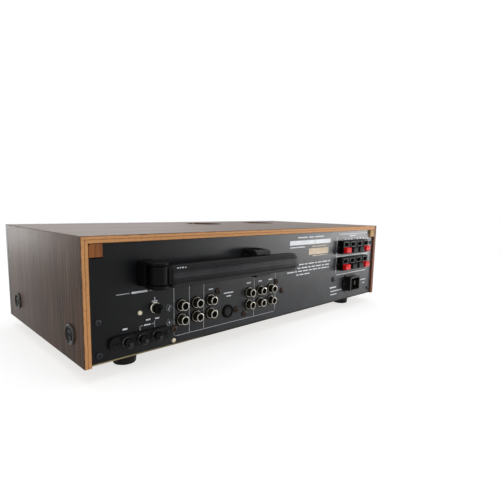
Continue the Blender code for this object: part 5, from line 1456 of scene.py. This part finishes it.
def bar_section():
    """Points (y, z) round the bar: round corners, and grooves on its front and upper slope."""
    outline = chamfered(BAR_DEPTH / 2, BAR_HEIGHT / 2, BAR_CHAMFER, BAR_CHAMFER)
    corners = [Vector(point) for point in outline]
    points = []
    for number, (here, after) in enumerate(zip(corners, corners[1:] + corners[:1])):
        along = (after - here).normalized()
        inward = Vector((along.y, -along.x))
        entry = here + (corners[number - 1] - here).normalized() * CORNER_ROUND
        leaving = here + along * CORNER_ROUND
        points += [(here + (entry + leaving) / 2) / 2, leaving]
        if number in GROOVED_SIDES:
            length = (after - here).length
            count = int((length - 2 * (CORNER_ROUND + GROOVE_EDGE)) / GROOVE_PITCH) + 1
            for groove in range(count):
                place = length / 2 + (groove - (count - 1) / 2) * GROOVE_PITCH
                for offset, depth in ((-GROOVE_HALF, 0), (0, GROOVE_DEPTH), (GROOVE_HALF, 0)):
                    points.append(here + along * (place + offset) + inward * depth)
        points.append(after - along * CORNER_ROUND)
    return points


def end_stations(end_x, length, share, steps):
    """Places and shares of a round end, from its tip to where it has the full section."""
    angles = [math.pi / 2 * (1 - step / steps) for step in range(steps + 1)]
    return [(end_x + length * (1 - math.sin(a)), share + (1 - share) * math.cos(a)) for a in angles]


print("grooves in mm: deep", GROOVE_DEPTH, "and apart", GROOVE_PITCH)

# %% The loft
section = bar_section()
stations = end_stations(BAR_SHOULDER_X, -SHOULDER_LENGTH, SHOULDER_SHARE, 6)
stations += end_stations(BAR_FAR_X, TIP_LENGTH, TIP_SHARE, 8)[::-1]
bar = bmesh.new()
rows = []
for x, share in stations:
    ring = [(x, PIVOT[1] + y * share, BAR_MIDDLE_Z + z * share) for y, z in section]
    rows.append([bar.verts.new(place) for place in ring])
for near, far in zip(rows, rows[1:]):
    for step in range(len(section)):
        after = (step + 1) % len(section)
        bar.faces.new([near[step], near[after], far[after], far[step]])
bar.faces.new(rows[0])
bar.faces.new(rows[-1])
print("sections of the bar:", len(rows), "with", len(section), "points each")

# %% The eye, the neck and four plain marks
EYE_Z = (80.3, 96.7)
EYE_RADIUS = 7.6
EYE_BORE = 2.6
EYE_EDGE = 0.7
NECK_DEPTH = 13.4
NECK_Z = (80.6, 95.1)
NECK_X = (BAR_SHOULDER_X - 1.0, PIVOT[0] - 5.4)
MARK_HALF = 0.7
MARK_FILM = 0.05
MARKS_X = ((161.6, 163.2), (159.2, 160.6), (156.0, 158.2), (153.6, 154.8))
BAR_ORIGIN_Z = 88.5

eye = [
    (EYE_BORE, EYE_Z[0]),
    (EYE_RADIUS - EYE_EDGE, EYE_Z[0]),
    (EYE_RADIUS, EYE_Z[0] + EYE_EDGE),
    (EYE_RADIUS, EYE_Z[1] - EYE_EDGE),
    (EYE_RADIUS - EYE_EDGE, EYE_Z[1]),
    (EYE_BORE, EYE_Z[1]),
]
add_turned(bar, "Z", PIVOT, eye, 48, 2, closed=True)
add_plate(bar, "X", rounded(centred(PIVOT[1], NECK_DEPTH), NECK_Z, 1.5, 4), *NECK_X, 2)
slope_y = PIVOT[1] + (BAR_DEPTH - BAR_CHAMFER) / 2
slope_z = BAR_MIDDLE_Z + (BAR_HEIGHT - BAR_CHAMFER) / 2
down_slope = Vector((1, -1)).normalized() * MARK_HALF
off_slope = Vector((1, 1)).normalized() * MARK_FILM
mark = []
for down, out in ((-1, -1), (1, -1), (1, 1), (-1, 1)):
    mark.append(Vector((slope_y, slope_z)) + down_slope * down + off_slope * out)
for mark_x in MARKS_X:
    add_plate(bar, "X", mark, *mark_x, 1)
finishes = [bar_plastic, dim_print, hinge_black]
origin = (*PIVOT, BAR_ORIGIN_Z)
make_piece("ferrite_bar", bar, finishes, "bar", ["aerial_bar"], origin=origin, sharp=28)

# %% The bracket with its pin
BRACKET_X = (168.8, 186.2)
BRACKET_Z = (76.6, 99.4)
BRACKET_FRONT = 118.4
EAR_RADIUS = 8.2
EAR_GAP = (80.0, 97.0)
PIN = disc_profile(2.5, 79, 98)

bracket = bmesh.new()
add_plate(bracket, "Y", rounded(BRACKET_X, BRACKET_Z, 2.6, 4), SEAT_Y, BRACKET_FRONT)
ear = [(PIVOT[0] + side * EAR_RADIUS, BRACKET_FRONT - 1) for side in (-1, 1)]
ear += arc(PIVOT, EAR_RADIUS, 0, 180, 16)
for low, high in ((BRACKET_Z[0], EAR_GAP[0]), (EAR_GAP[1], BRACKET_Z[1])):
    add_plate(bracket, "Z", ear, low, high)
add_turned(bracket, "Z", PIVOT, PIN, 24, 1)
name = "aerial_hinge_bracket"
finishes = [hinge_black, dark_steel]
make_piece(name, bracket, finishes, "receiver", ["aerial_bracket"], edge=0.5)

# %% The clip that holds the bar
CLIP_X = (37.0, 59.0)
CLIP_FRONT = 126.6
CLIP_RIB_X = (40.5, 48.0, 55.5)
CLIP_RIB_Y = (SEAT_Y, CLIP_FRONT - 6.5)
CLIP_RIB_Z = (101.2, 102.4)
CLIP_SECTION = [
    (SEAT_Y, 73.0),
    (CLIP_FRONT - 1.2, 73.0),
    (CLIP_FRONT, 74.0),
    (CLIP_FRONT, 75.7),
    (107.6, 75.7),
    (107.6, 96.6),
    (CLIP_FRONT - 0.6, 96.6),
    (CLIP_FRONT, 97.5),
    (CLIP_FRONT - 0.4, 99.3),
    (CLIP_FRONT - 2.2, 101.0),
    (CLIP_FRONT - 4.6, 101.6),
    (SEAT_Y, 101.6),
]

clip = bmesh.new()
add_plate(clip, "X", CLIP_SECTION, *CLIP_X)
for x in CLIP_RIB_X:
    add_box(clip, centred(x, 1.6), CLIP_RIB_Y, CLIP_RIB_Z)
make_piece("bar_clip", clip, [black_plastic], "receiver", ["aerial_clip"], edge=0.7)

# %% [markdown]
# ## Speaker terminals
#
# Each block holds four spring terminals. Above every lever opens a square window with a paler rim,
# where the bare wire goes in against a contact leaf. The windows are cut into the block, the rims
# and leaves are put in, and an ear with a screw sits at each end.

# %% Sizes of a block
BLOCK_X = -166.4
BLOCK_WIDTH = 70.3
BLOCK_HEIGHT = 18.6
BLOCK_FACE = 112.3
BLOCK_ROWS = {"upper": 92.7, "lower": 68.85}
LEVER_X = (-193.4, -175.4, -157.4, -139.4)
WINDOW = (12.0, 7.2)
WINDOW_RISE = 4.3
WINDOW_DEPTH = 7
RIM_WIDTH = 0.7
RIM_Y = (BLOCK_FACE - 3.0, BLOCK_FACE + 0.5)
POCKET_WIDTH = 12.3
POCKET_Z = (-8.0, 0.5)
LEAF_HALF_WIDTH = 2.4
LEAF = [
    (BLOCK_FACE - 6.9, 2.0),
    (BLOCK_FACE - 6.9, 2.4),
    (BLOCK_FACE - 3.4, 4.3),
    (BLOCK_FACE - 3.2, 3.9),
]
EAR_REACH = 3.8
EAR_HEIGHT = 10.0
EAR_FACE = 106.6
EAR_SCREW = 1.9
OVER = 1
print("speaker levers:", len(BLOCK_ROWS) * len(LEVER_X))

# %% Both blocks
terminal_finishes = [block_plastic, grey_plastic, nickel, dark_steel]
ear_screw = screw_head(1.6, 0.9, 0.6)


def add_window_rim(shape, x, z):
    """Four bars just inside a window whose middle is at (x, z)."""
    inner_height = WINDOW[1] - 2 * RIM_WIDTH
    for side in (-1, 1):
        bar_z = z + side * (WINDOW[1] - RIM_WIDTH) / 2
        add_box(shape, centred(x, WINDOW[0]), RIM_Y, centred(bar_z, RIM_WIDTH), 1)
        bar_x = x + side * (WINDOW[0] - RIM_WIDTH) / 2
        add_box(shape, centred(bar_x, RIM_WIDTH), RIM_Y, centred(z, inner_height), 1)


for row, z in BLOCK_ROWS.items():
    block = bmesh.new()
    outline = rounded(centred(BLOCK_X, BLOCK_WIDTH), centred(z, BLOCK_HEIGHT), 0.8, 3)
    add_plate(block, "Y", outline, SEAT_Y, BLOCK_FACE)
    openings = bmesh.new()
    pocket_z = [z + height for height in POCKET_Z]
    for x in LEVER_X:
        window = rectangle(centred(x, WINDOW[0]), centred(z + WINDOW_RISE, WINDOW[1]))
        add_plate(openings, "Y", window, BLOCK_FACE - WINDOW_DEPTH, BLOCK_FACE + OVER)
        pocket = rectangle(centred(x, POCKET_WIDTH), pocket_z)
        add_plate(openings, "Y", pocket, PANEL_Y - OVER, BLOCK_FACE + OVER)
    block = carved(block, openings)
    leaf = [(y, z + height) for y, height in LEAF]
    for x in LEVER_X:
        add_window_rim(block, x, z + WINDOW_RISE)
        add_plate(block, "X", leaf, x - LEAF_HALF_WIDTH, x + LEAF_HALF_WIDTH, 3)
    for side in (-1, 1):
        block_end = BLOCK_X + side * BLOCK_WIDTH / 2
        ear_x = sorted((block_end - side * OVER, block_end + side * EAR_REACH))
        add_plate(block, "Y", rounded(ear_x, centred(z, EAR_HEIGHT), 2.0, 4), SEAT_Y, EAR_FACE)
        place = (block_end + side * EAR_SCREW, EAR_FACE, z)
        stamp(block, ear_screw, facing("+Y", place, 0.6 * side + z), 3)
    name = f"speaker_block_{row}"
    node = f"speaker_terminal_{row}"
    make_piece(name, block, terminal_finishes, "receiver", [node], edge=0.2)

# %% [markdown]
# The push levers are short plastic keys with a dished face and two finger ribs. Each one moves,
# so each is a piece of its own and rides on its own body.

# %% Eight push levers
LEVER_WIDTH = 11.5
LEVER_HEIGHT = 7.6
LEVER_DROP = 3.75
LEVER_BACK = 106.9
LEVER_FRONT = 118.0
LEVER_TOP = LEVER_HEIGHT / 2
# The lever from the side, as (y, height above its middle).
LEVER_SIDE = [
    (LEVER_BACK, -LEVER_TOP),
    (LEVER_FRONT - 0.9, -LEVER_TOP),
    (LEVER_FRONT, -LEVER_TOP + 0.9),
    (LEVER_FRONT - 0.5, -1.2),
    (LEVER_FRONT - 0.6, 0.6),
    (LEVER_FRONT - 0.1, LEVER_TOP - 1.2),
    (LEVER_FRONT - 0.9, LEVER_TOP - 0.2),
    (LEVER_FRONT - 2.0, LEVER_TOP),
    (LEVER_BACK, LEVER_TOP),
]
LEVER_RIBS = (-1.3, 0.9)
RIB_SIZE = (LEVER_WIDTH - 2.4, 0.6)
RIB_Y = (LEVER_FRONT - 1.5, LEVER_FRONT - 0.1)
RED_LEVERS = (1, 4)

for row, block_z in BLOCK_ROWS.items():
    z = block_z - LEVER_DROP
    for number, x in enumerate(LEVER_X, 1):
        lever = bmesh.new()
        side_view = [(y, z + height) for y, height in LEVER_SIDE]
        add_plate(lever, "X", side_view, *centred(x, LEVER_WIDTH))
        for rib in LEVER_RIBS:
            add_box(lever, centred(x, RIB_SIZE[0]), RIB_Y, centred(z + rib, RIB_SIZE[1]))
        finish, slot = lever_black, "black_lever"
        if number in RED_LEVERS:
            finish, slot = lever_red, "red_plastic"
        body = f"lever_{row}_{number}"
        node = f"speaker_{body}"
        origin = (x, LEVER_BACK, z)
        make_piece(f"push_{body}", lever, [finish], body, [node], edge=0.45, origin=origin)

# %% [markdown]
# ## The mains inlet
#
# The inlet is a black moulding with a pointed flange, two rivets and a shroud round two flat
# blades. The well is cut out of the solid shroud, and the blades stand in it and end a little
# below its edge.

# %% Flange, shroud and blades
INLET = (-166.0, 37.85)
FLANGE = (40.8, 24.5)
FLANGE_FLAT_SHARE = 0.62
FLANGE_TIP = 3.4
FLANGE_FACE = PANEL_Y + 2.0
SHROUD = (26.4, 20.8)
SHROUD_WALL = 1.8
SHROUD_END = 114.3
WELL_FLOOR = SHROUD_END - 9.0
BLADE_PITCH = 12.0
BLADE = (1.6, 6.3)
BLADE_Y = (WELL_FLOOR - 0.1, SHROUD_END - 4.2)
RIVET_PLACE = 16.2
HOLLOW_RIVET = [(0, 0), (2.1, 0), (2.0, 0.45), (1.5, 0.8), (1.1, 0.85), (0.8, 0.5), (0, 0.5)]


def round_inlet(size, radius, steps, across=0.0):
    """A rounded outline of this size, moved sideways from the inlet's middle."""
    return rounded(centred(INLET[0] + across, size[0]), centred(INLET[1], size[1]), radius, steps)


half_width, half_height = FLANGE[0] / 2, FLANGE[1] / 2
point_length = half_width * (1 - FLANGE_FLAT_SHARE)
flange = chamfered(half_width, half_height, point_length, half_height - FLANGE_TIP)
inlet = bmesh.new()
add_plate(inlet, "Y", [(INLET[0] + u, INLET[1] + v) for u, v in flange], SEAT_Y, FLANGE_FACE)
add_plate(inlet, "Y", round_inlet(SHROUD, 2.2, 5), PANEL_Y + 1.0, SHROUD_END)
well = bmesh.new()
hollow = [size - 2 * SHROUD_WALL for size in SHROUD]
add_plate(well, "Y", round_inlet(hollow, 1.2, 4), WELL_FLOOR, SHROUD_END + OVER)
inlet = carved(inlet, well)
rivet = [(radius, FLANGE_FACE + along) for radius, along in HOLLOW_RIVET]
for side in (-1, 1):
    blade = round_inlet(BLADE, 0.3, 2, side * BLADE_PITCH / 2)
    add_plate(inlet, "Y", blade, *BLADE_Y, 1)
    add_turned(inlet, "Y", (INLET[0] + side * RIVET_PLACE, INLET[1]), rivet, 24, 2)
finishes = [black_plastic, blade_metal, dark_steel]
make_piece("mains_inlet", inlet, finishes, "receiver", ["power_inlet"], edge=0.3)

# %% [markdown]
# ## Feet and the underside
#
# Four turned rubber feet stand on the ground, each with a screw in a recess underneath. More
# screws hold the boards and the transformer through the tray, so their heads show from below.

# %% Rubber feet
FOOT_X = 186.0
FOOT_Y = {"rear": 77.8, "front": -86.2}
FOOT_RECESS = 2.6
FOOT_PROFILE = [
    (0, FOOT_RECESS),
    (3.9, FOOT_RECESS),
    (4.1, 0.7),
    (4.9, 0.0),
    (9.2, 0.0),
    (10.2, 0.4),
    (10.7, 1.5),
    (11.5, 9.5),
    (11.5, 14.3),
    (0, 14.3),
]
foot_screw = screw_head(3.4, 1.6, 1.0)

for side, sign in SIDES.items():
    for end, y in FOOT_Y.items():
        foot = bmesh.new()
        add_turned(foot, "Z", (sign * FOOT_X, y), FOOT_PROFILE, 56)
        stamp(foot, foot_screw, facing("-Z", (sign * FOOT_X, y, FOOT_RECESS)), 1)
        node = f"foot_{end}_{side}"
        make_piece(f"rubber_{node}", foot, [rubber, dark_steel], "receiver", [node])

# %% Screws under the tray
TRAY_BOTTOM = 14.6
UNDER_SCREWS = [(-210, -46), (-161, -46), (-210, 2), (-161, 2)]
UNDER_SCREWS += [(-120, 24), (35, 24), (190, 24), (-120, 76), (35, 76), (190, 76)]
UNDER_SCREWS += [(-132, -48), (7, -48), (50, -10), (195, -10)]

under = bmesh.new()
for number, (x, y) in enumerate(UNDER_SCREWS):
    stamp(under, small_head, facing("-Z", (x, y, TRAY_BOTTOM), 0.9 * number))
make_piece("underside_screws", under, [nickel], "receiver")

# %% [markdown]
# ## The front: frame, face and glass
#
# The photograph doesn't show the front, so it follows what such receivers have. The plastic
# frame, the brushed face, the dial glass and the black dial plate keep the CAD's shapes. They get
# finishes, and all but the dial plate get soft edges, because it's the thin bright line along an
# edge that makes metal look like metal.

# %% Finishes on the front nodes
keep_node("front_bezel", bezel_plastic, edge=0.5)
keep_node("front_panel", brushed, edge=0.3)
keep_node("dial_window", dial_glass, edge=0.3)
keep_node("dial_plate", dial_paint)
keep_node("dial_pointer", red_paint)
keep_node("signal_meter", black_plastic, edge=0.4)
keep_node("meter_needle", red_paint)

# %% [markdown]
# Digits come from the font that is built into Blender. Each number is turned into a mesh, scaled
# to a height in mm and laid on a surface as a film of ink. Numbers are the only text on the model.

# %% Printed numbers
DIAL_FILM = (-103.26, -103.15)
FACE_FILM = (-113.77, -113.66)
CARD_FILM = (-101.7, -101.6)
DIGIT_WELD = 0.002


def add_number(shape, text, x, z, height, film, slot=0):
    """Adds digits that are centred on (x, z) and can be read from the front."""
    curve = bpy.data.curves.new("digits", "FONT")
    curve.body = text
    curve.extrude = 0.5
    curve.resolution_u = 3
    holder = bpy.data.objects.new("digits", curve)
    bpy.context.scene.collection.objects.link(holder)
    mesh = bpy.data.meshes.new_from_object(holder)
    bpy.data.objects.remove(holder)
    bpy.data.curves.remove(curve)
    us = [vertex.co.x for vertex in mesh.vertices]
    vs = [vertex.co.y for vertex in mesh.vertices]
    growth = height / (max(vs) - min(vs))
    middle = ((max(us) + min(us)) / 2, (max(vs) + min(vs)) / 2)
    for vertex in mesh.vertices:
        u = x + (vertex.co.x - middle[0]) * growth
        v = z + (vertex.co.y - middle[1]) * growth
        vertex.co = (u, film[0] if vertex.co.z > 0 else film[1], v)
    digits = bmesh.new()
    digits.from_mesh(mesh)
    bpy.data.meshes.remove(mesh)
    bmesh.ops.remove_doubles(digits, verts=digits.verts, dist=DIGIT_WELD)
    stamp(shape, digits, Matrix.Identity(4), slot)
    digits.free()


print("ink on the dial, the face and the card lies at", DIAL_FILM[0], FACE_FILM[0], CARD_FILM[0])


# %% The tuning scales
SCALE_HALF = 92.0
FM_RANGE = (88, 108)
AM_RANGE = (530, 1600)
FM_LINE_Z = 94.2
AM_LINE_Z = 86.6
LOG_LINE_Z = 90.4
FM_NUMBERS_Z = 99.6
AM_NUMBERS_Z = 81.6
FM_NUMBERS = range(88, 109, 4)
AM_NUMBERS = (530, 600, 700, 800, 1000, 1200, 1400, 1600)
AM_TICKS = (530, *range(600, 1601, 100))
TICK_WIDTH = 0.35
LINE_OVERRUN = 4
BAND_NAME_X = -112.0
LENS_PLACE = (115.0, FM_LINE_Z)
LENS = [(0, -103.1), (1.9, -103.1), (1.9, -103.7), (1.5, -104.1), (0.8, -104.35), (0, -104.4)]
BACKING_BOX = ((-201.5, 141.5), (-97.45, -97.22), (70.8, 107.2))


def along_scale(share):
    return -SCALE_HALF + 2 * SCALE_HALF * share


def fm_place(frequency):
    return along_scale((frequency - FM_RANGE[0]) / (FM_RANGE[1] - FM_RANGE[0]))


def am_place(frequency):
    return along_scale(math.log(frequency / AM_RANGE[0]) / math.log(AM_RANGE[1] / AM_RANGE[0]))


def add_dial_tick(x, z, length, width=TICK_WIDTH, slot=0):
    add_bar(scales, x, z, width, length, slot, DIAL_FILM)


scales = bmesh.new()
line_end = SCALE_HALF + LINE_OVERRUN
for z in (FM_LINE_Z, AM_LINE_Z):
    add_line(scales, [(-line_end, z), (line_end, z)], TICK_WIDTH, 0, DIAL_FILM)
for half_step in range(2 * FM_RANGE[0], 2 * FM_RANGE[1] + 1):
    length = 2.6 if half_step % 8 == 0 else 1.8 if half_step % 2 == 0 else 1.0
    add_dial_tick(fm_place(half_step / 2), FM_LINE_Z + length / 2, length)
for frequency in FM_NUMBERS:
    add_number(scales, str(frequency), fm_place(frequency), FM_NUMBERS_Z, 2.9, DIAL_FILM)
for frequency in AM_TICKS:
    add_dial_tick(am_place(frequency), AM_LINE_Z - 0.9, 1.8)
for frequency in AM_NUMBERS:
    add_number(scales, str(frequency), am_place(frequency), AM_NUMBERS_Z, 2.5, DIAL_FILM)
for step in range(101):
    add_dial_tick(along_scale(step / 100), LOG_LINE_Z, 1.6 if step % 10 == 0 else 0.8, 0.25, 1)
for z in (FM_LINE_Z + 2.6, AM_LINE_Z - 2.6):
    add_dial_tick(BAND_NAME_X, z, 1.2, 9.0)
make_piece("dial_scales", scales, [dial_ink, red_paint], "receiver")

lamp_lens = bmesh.new()
add_turned(lamp_lens, "Y", LENS_PLACE, LENS, 32)
make_piece("dial_lamp_lens", lamp_lens, [red_paint], "receiver")

backing = bmesh.new()
add_box(backing, *BACKING_BOX)
make_piece("dial_backing", backing, [inset_black], "receiver")

# %% The meter's card
METER_PIVOT = (-167.9, 79.7)
METER_SWING = (130, 50)
METER_RED_FROM = 74
METER_RADIUS = 14.6
METER_STEP = 4
CARD_WIDTH = 47.6
CARD_Z = (77.2, 100.8)
CARD_Y = (-101.62, -101.4)

card_plate = bmesh.new()
add_plate(card_plate, "Y", rounded(centred(METER_PIVOT[0], CARD_WIDTH), CARD_Z, 1.0, 3), *CARD_Y)
add_line(card_plate, arc(METER_PIVOT, METER_RADIUS, *METER_SWING, 24), 0.4, 1, CARD_FILM)
red_arc = arc(METER_PIVOT, METER_RADIUS + 1.0, METER_RED_FROM, METER_SWING[1], 8)
add_line(card_plate, red_arc, 0.9, 2, CARD_FILM)
for step, angle in enumerate(range(METER_SWING[0], METER_SWING[1] - 1, -METER_STEP)):
    reach = METER_RADIUS + (2.2 if step % 4 == 0 else 1.3)
    ends = [on_circle(METER_PIVOT, radius, angle) for radius in (METER_RADIUS, reach)]
    add_line(card_plate, ends, 0.3, 1, CARD_FILM)
    if step % 4 == 0:
        x, z = on_circle(METER_PIVOT, METER_RADIUS + 4.2, angle)
        add_number(card_plate, str(step // 4), x, z, 1.9, CARD_FILM, 1)
make_piece("meter_card", card_plate, [card, mark_dark, red_paint], "receiver")

# %% [markdown]
# ## Knobs
#
# Aluminium knobs are turned: a skirt, a fluted grip and a dished face with fine rings. The rings
# need the finish to know where the axis is, so every knob has its origin there. On all but the
# tuning knob a dark line is let into the face to show the setting. Hidden shafts run back to the
# controls.

# %% Sizes of the knobs
SKIRT_Y = -114.3
# The centre, the radius, the length, the shaft's end and the angle at which the line stands.
KNOBS = {
    "tuning": ((185.0, 80.0), 23.0, 20.0, -84.2, None),
    "volume": ((109.8, 43.0), 17.0, 17.0, -86.8, -150),
    "selector": ((48.0, 43.0), 14.0, 15.0, -86.8, 0),
    "balance": ((-40.3, 43.0), 12.0, 15.0, -86.8, 0),
    "treble": ((-85.1, 43.0), 12.0, 15.0, -86.8, 0),
    "bass": ((-129.9, 43.0), 12.0, 15.0, -86.8, 0),
}
FLUTE_PITCH = 1.5
SHAFT_RADIUS = 3.0
POINTER_WIDTH = 1.0
print("knobs:", len(KNOBS))

# %% Turn the knobs
for knob_name, (centre, radius, length, shaft_end, setting) in KNOBS.items():
    nose = SKIRT_Y - length
    grip = radius - 1.6
    profile = [
        (0, shaft_end),
        (SHAFT_RADIUS, shaft_end),
        (SHAFT_RADIUS, SKIRT_Y + 0.6),
        (radius - 1.0, SKIRT_Y),
        (radius - 0.3, SKIRT_Y),
        (radius, SKIRT_Y - 0.4),
        (radius, SKIRT_Y - 2.0),
        (radius - 0.5, SKIRT_Y - 2.6),
        (grip, SKIRT_Y - 3.0),
        (grip, SKIRT_Y - 3.6, 0.45),
        (grip - 0.3, nose + 2.0, 0.45),
        (grip - 0.4, nose + 1.5),
        (grip - 0.7, nose + 1.1),
        (grip - 1.4, nose + 0.2),
        (grip - 1.9, nose),
        (grip - 2.6, nose),
        (grip - 3.0, nose + 0.5),
        (grip * 0.4, nose + 0.9),
        (0, nose + 1.0),
    ]
    flutes = int(math.tau * grip / FLUTE_PITCH)
    knob = bmesh.new()
    add_turned(knob, "Y", centre, profile, flutes * 5, 0, flutes=flutes)
    if setting is not None:
        pointer = bmesh.new()
        pointer_x = centred(0, POINTER_WIDTH)
        add_box(pointer, pointer_x, (nose - 0.02, nose + 1.2), (radius * 0.3, grip - 1.95))
        add_box(pointer, pointer_x, (nose + 0.3, SKIRT_Y - 3.8), (grip - 1.5, grip + 0.05))
        stamp(knob, pointer, facing("+Y", (centre[0], 0, centre[1]), math.radians(setting)), 1)
        pointer.free()
    origin = (centre[0], SKIRT_Y, centre[1])
    node = f"{knob_name}_knob"
    finishes = [turned_metal, mark_dark]
    make_piece(f"turned_{node}", knob, finishes, knob_name, [node], origin=origin)

# %% Marks and numbers round the knobs
TICK_GAP = 2.0
POT_TICKS = range(-150, 151, 30)
SWITCH_TICKS = range(-60, 61, 30)
TONE_NUMBERS = {-120: "4", -60: "2", 0: "0", 60: "2", 120: "4"}
VOLUME_NUMBERS = {angle: str(step) for step, angle in enumerate(POT_TICKS)}
SWITCH_NUMBERS = {angle: str(step) for step, angle in enumerate(SWITCH_TICKS, 1)}
BUTTONS = {"power": -204.9, "loudness": 2.7}
JACK = (-172.0, 43.0)
# The middle, z and width of each plain bar under a control.
NAME_BARS = [(KNOBS[tone_knob][0][0], 25.0, 11.0) for tone_knob in ("bass", "treble", "balance")]
NAME_BARS += [(KNOBS["selector"][0][0], 24.4, 13.0)]
NAME_BARS += [(x, 33.4, 9.0) for x in (*BUTTONS.values(), JACK[0])]

legend = bmesh.new()


def add_dial_marks(knob_name, ticks, length, numbers, numbers_out, height, width=0.5):
    """Ticks round a knob, and its numbers further out. Angles run clockwise from the top."""
    centre, radius = KNOBS[knob_name][:2]
    for angle in ticks:
        reaches = (radius + TICK_GAP, radius + TICK_GAP + length)
        ends = [on_circle(centre, reach, 90 - angle) for reach in reaches]
        add_line(legend, ends, width, 0, FACE_FILM)
    for angle, digits in numbers.items():
        x, z = on_circle(centre, radius + numbers_out, 90 - angle)
        add_number(legend, digits, x, z, height, FACE_FILM)


add_dial_marks("volume", POT_TICKS, 1.6, VOLUME_NUMBERS, 5.6, 2.0)
for tone_knob in ("bass", "treble", "balance"):
    add_dial_marks(tone_knob, POT_TICKS, 1.4, TONE_NUMBERS, 5.4, 2.0)
add_dial_marks("selector", SWITCH_TICKS, 2.2, SWITCH_NUMBERS, 6.6, 2.2, 0.6)
for middle, z, width in NAME_BARS:
    add_bar(legend, middle, z, width, 1.1, 0, FACE_FILM)
make_piece("face_marks", legend, [mark_dark], "receiver")

# %% [markdown]
# ## Push buttons and headphone socket
#
# The two buttons are brushed caps on square stems. The headphone socket is a threaded neck with a
# hexagonal nut, and the neck is open, so its dark inside shows.

# %% Buttons
BUTTON_Z = 43.0
CAP_SIZE = (15.6, 8.6)
CAP_Y = (-112.4, -119.7)
STEM_SIZE = 5
STEM_Y = (-112.6, -90.5)

for body, x in BUTTONS.items():
    button = bmesh.new()
    cap = rounded(centred(x, CAP_SIZE[0]), centred(BUTTON_Z, CAP_SIZE[1]), 1.4, 5)
    add_plate(button, "Y", cap, *CAP_Y)
    add_box(button, centred(x, STEM_SIZE), STEM_Y, centred(BUTTON_Z, STEM_SIZE))
    origin = (x, CAP_Y[0], BUTTON_Z)
    name, node = f"{body}_push_button", f"{body}_button"
    make_piece(name, button, [brushed], body, [node], edge=0.7, origin=origin)

# %% Headphone socket
JACK_NECK = [
    (3.3, -110.0),
    (4.6, -110.0),
    (4.6, -115.5),
    (4.35, -115.8),
    (3.6, -115.8),
    (3.3, -115.4),
]
JACK_NUT = [(4.5, -113.75), (6.5, -113.75), (6.5, -115.1), (6.15, -115.5), (4.5, -115.5)]
JACK_FLOOR = disc_profile(3.35, -110.3, -109.5)
JACK_CASE = 13
JACK_CASE_Y = (-109.9, -95.4)

jack = bmesh.new()
add_turned(jack, "Y", JACK, JACK_NECK, 40, 0, closed=True)
add_turned(jack, "Y", JACK, JACK_NUT, 6, 0, closed=True)
add_box(jack, centred(JACK[0], JACK_CASE), JACK_CASE_Y, centred(JACK[1], JACK_CASE), 1)
add_turned(jack, "Y", JACK, JACK_FLOOR, 32, 1)
finishes = [nickel, inset_black]
make_piece("jack_socket", jack, finishes, "receiver", ["headphone_socket"])

# %% [markdown]
# ## The inside
#
# Little of the inside shows, only what light through the two vents picks out. Its CAD shapes are
# detailed enough, so they keep them and get finishes: green boards crowded with parts, a cast heat
# sink, the transformer's dark core, the drum and the flywheel.

# %% Finishes on the inner nodes
keep_node("main_board", board_main)
keep_node("tuner_board", board_tuner)
keep_node("control_board", board_tuner)
keep_node("heat_sink", cast_alloy)
keep_node("power_transformer", core_steel)
keep_node("dial_drum", cast_alloy)
keep_node("tuning_flywheel", dark_steel)

# %% [markdown]
# ## Sizes and the last step
#
# The size of the whole is printed at the end, so that a piece that sticks out too far can be
# noticed.

# %% Size and finish
visual_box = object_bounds()
for axis, low, high in zip("XYZ", *visual_box):
    print(f"{axis} from {low / MM:.1f} to {high / MM:.1f} mm")
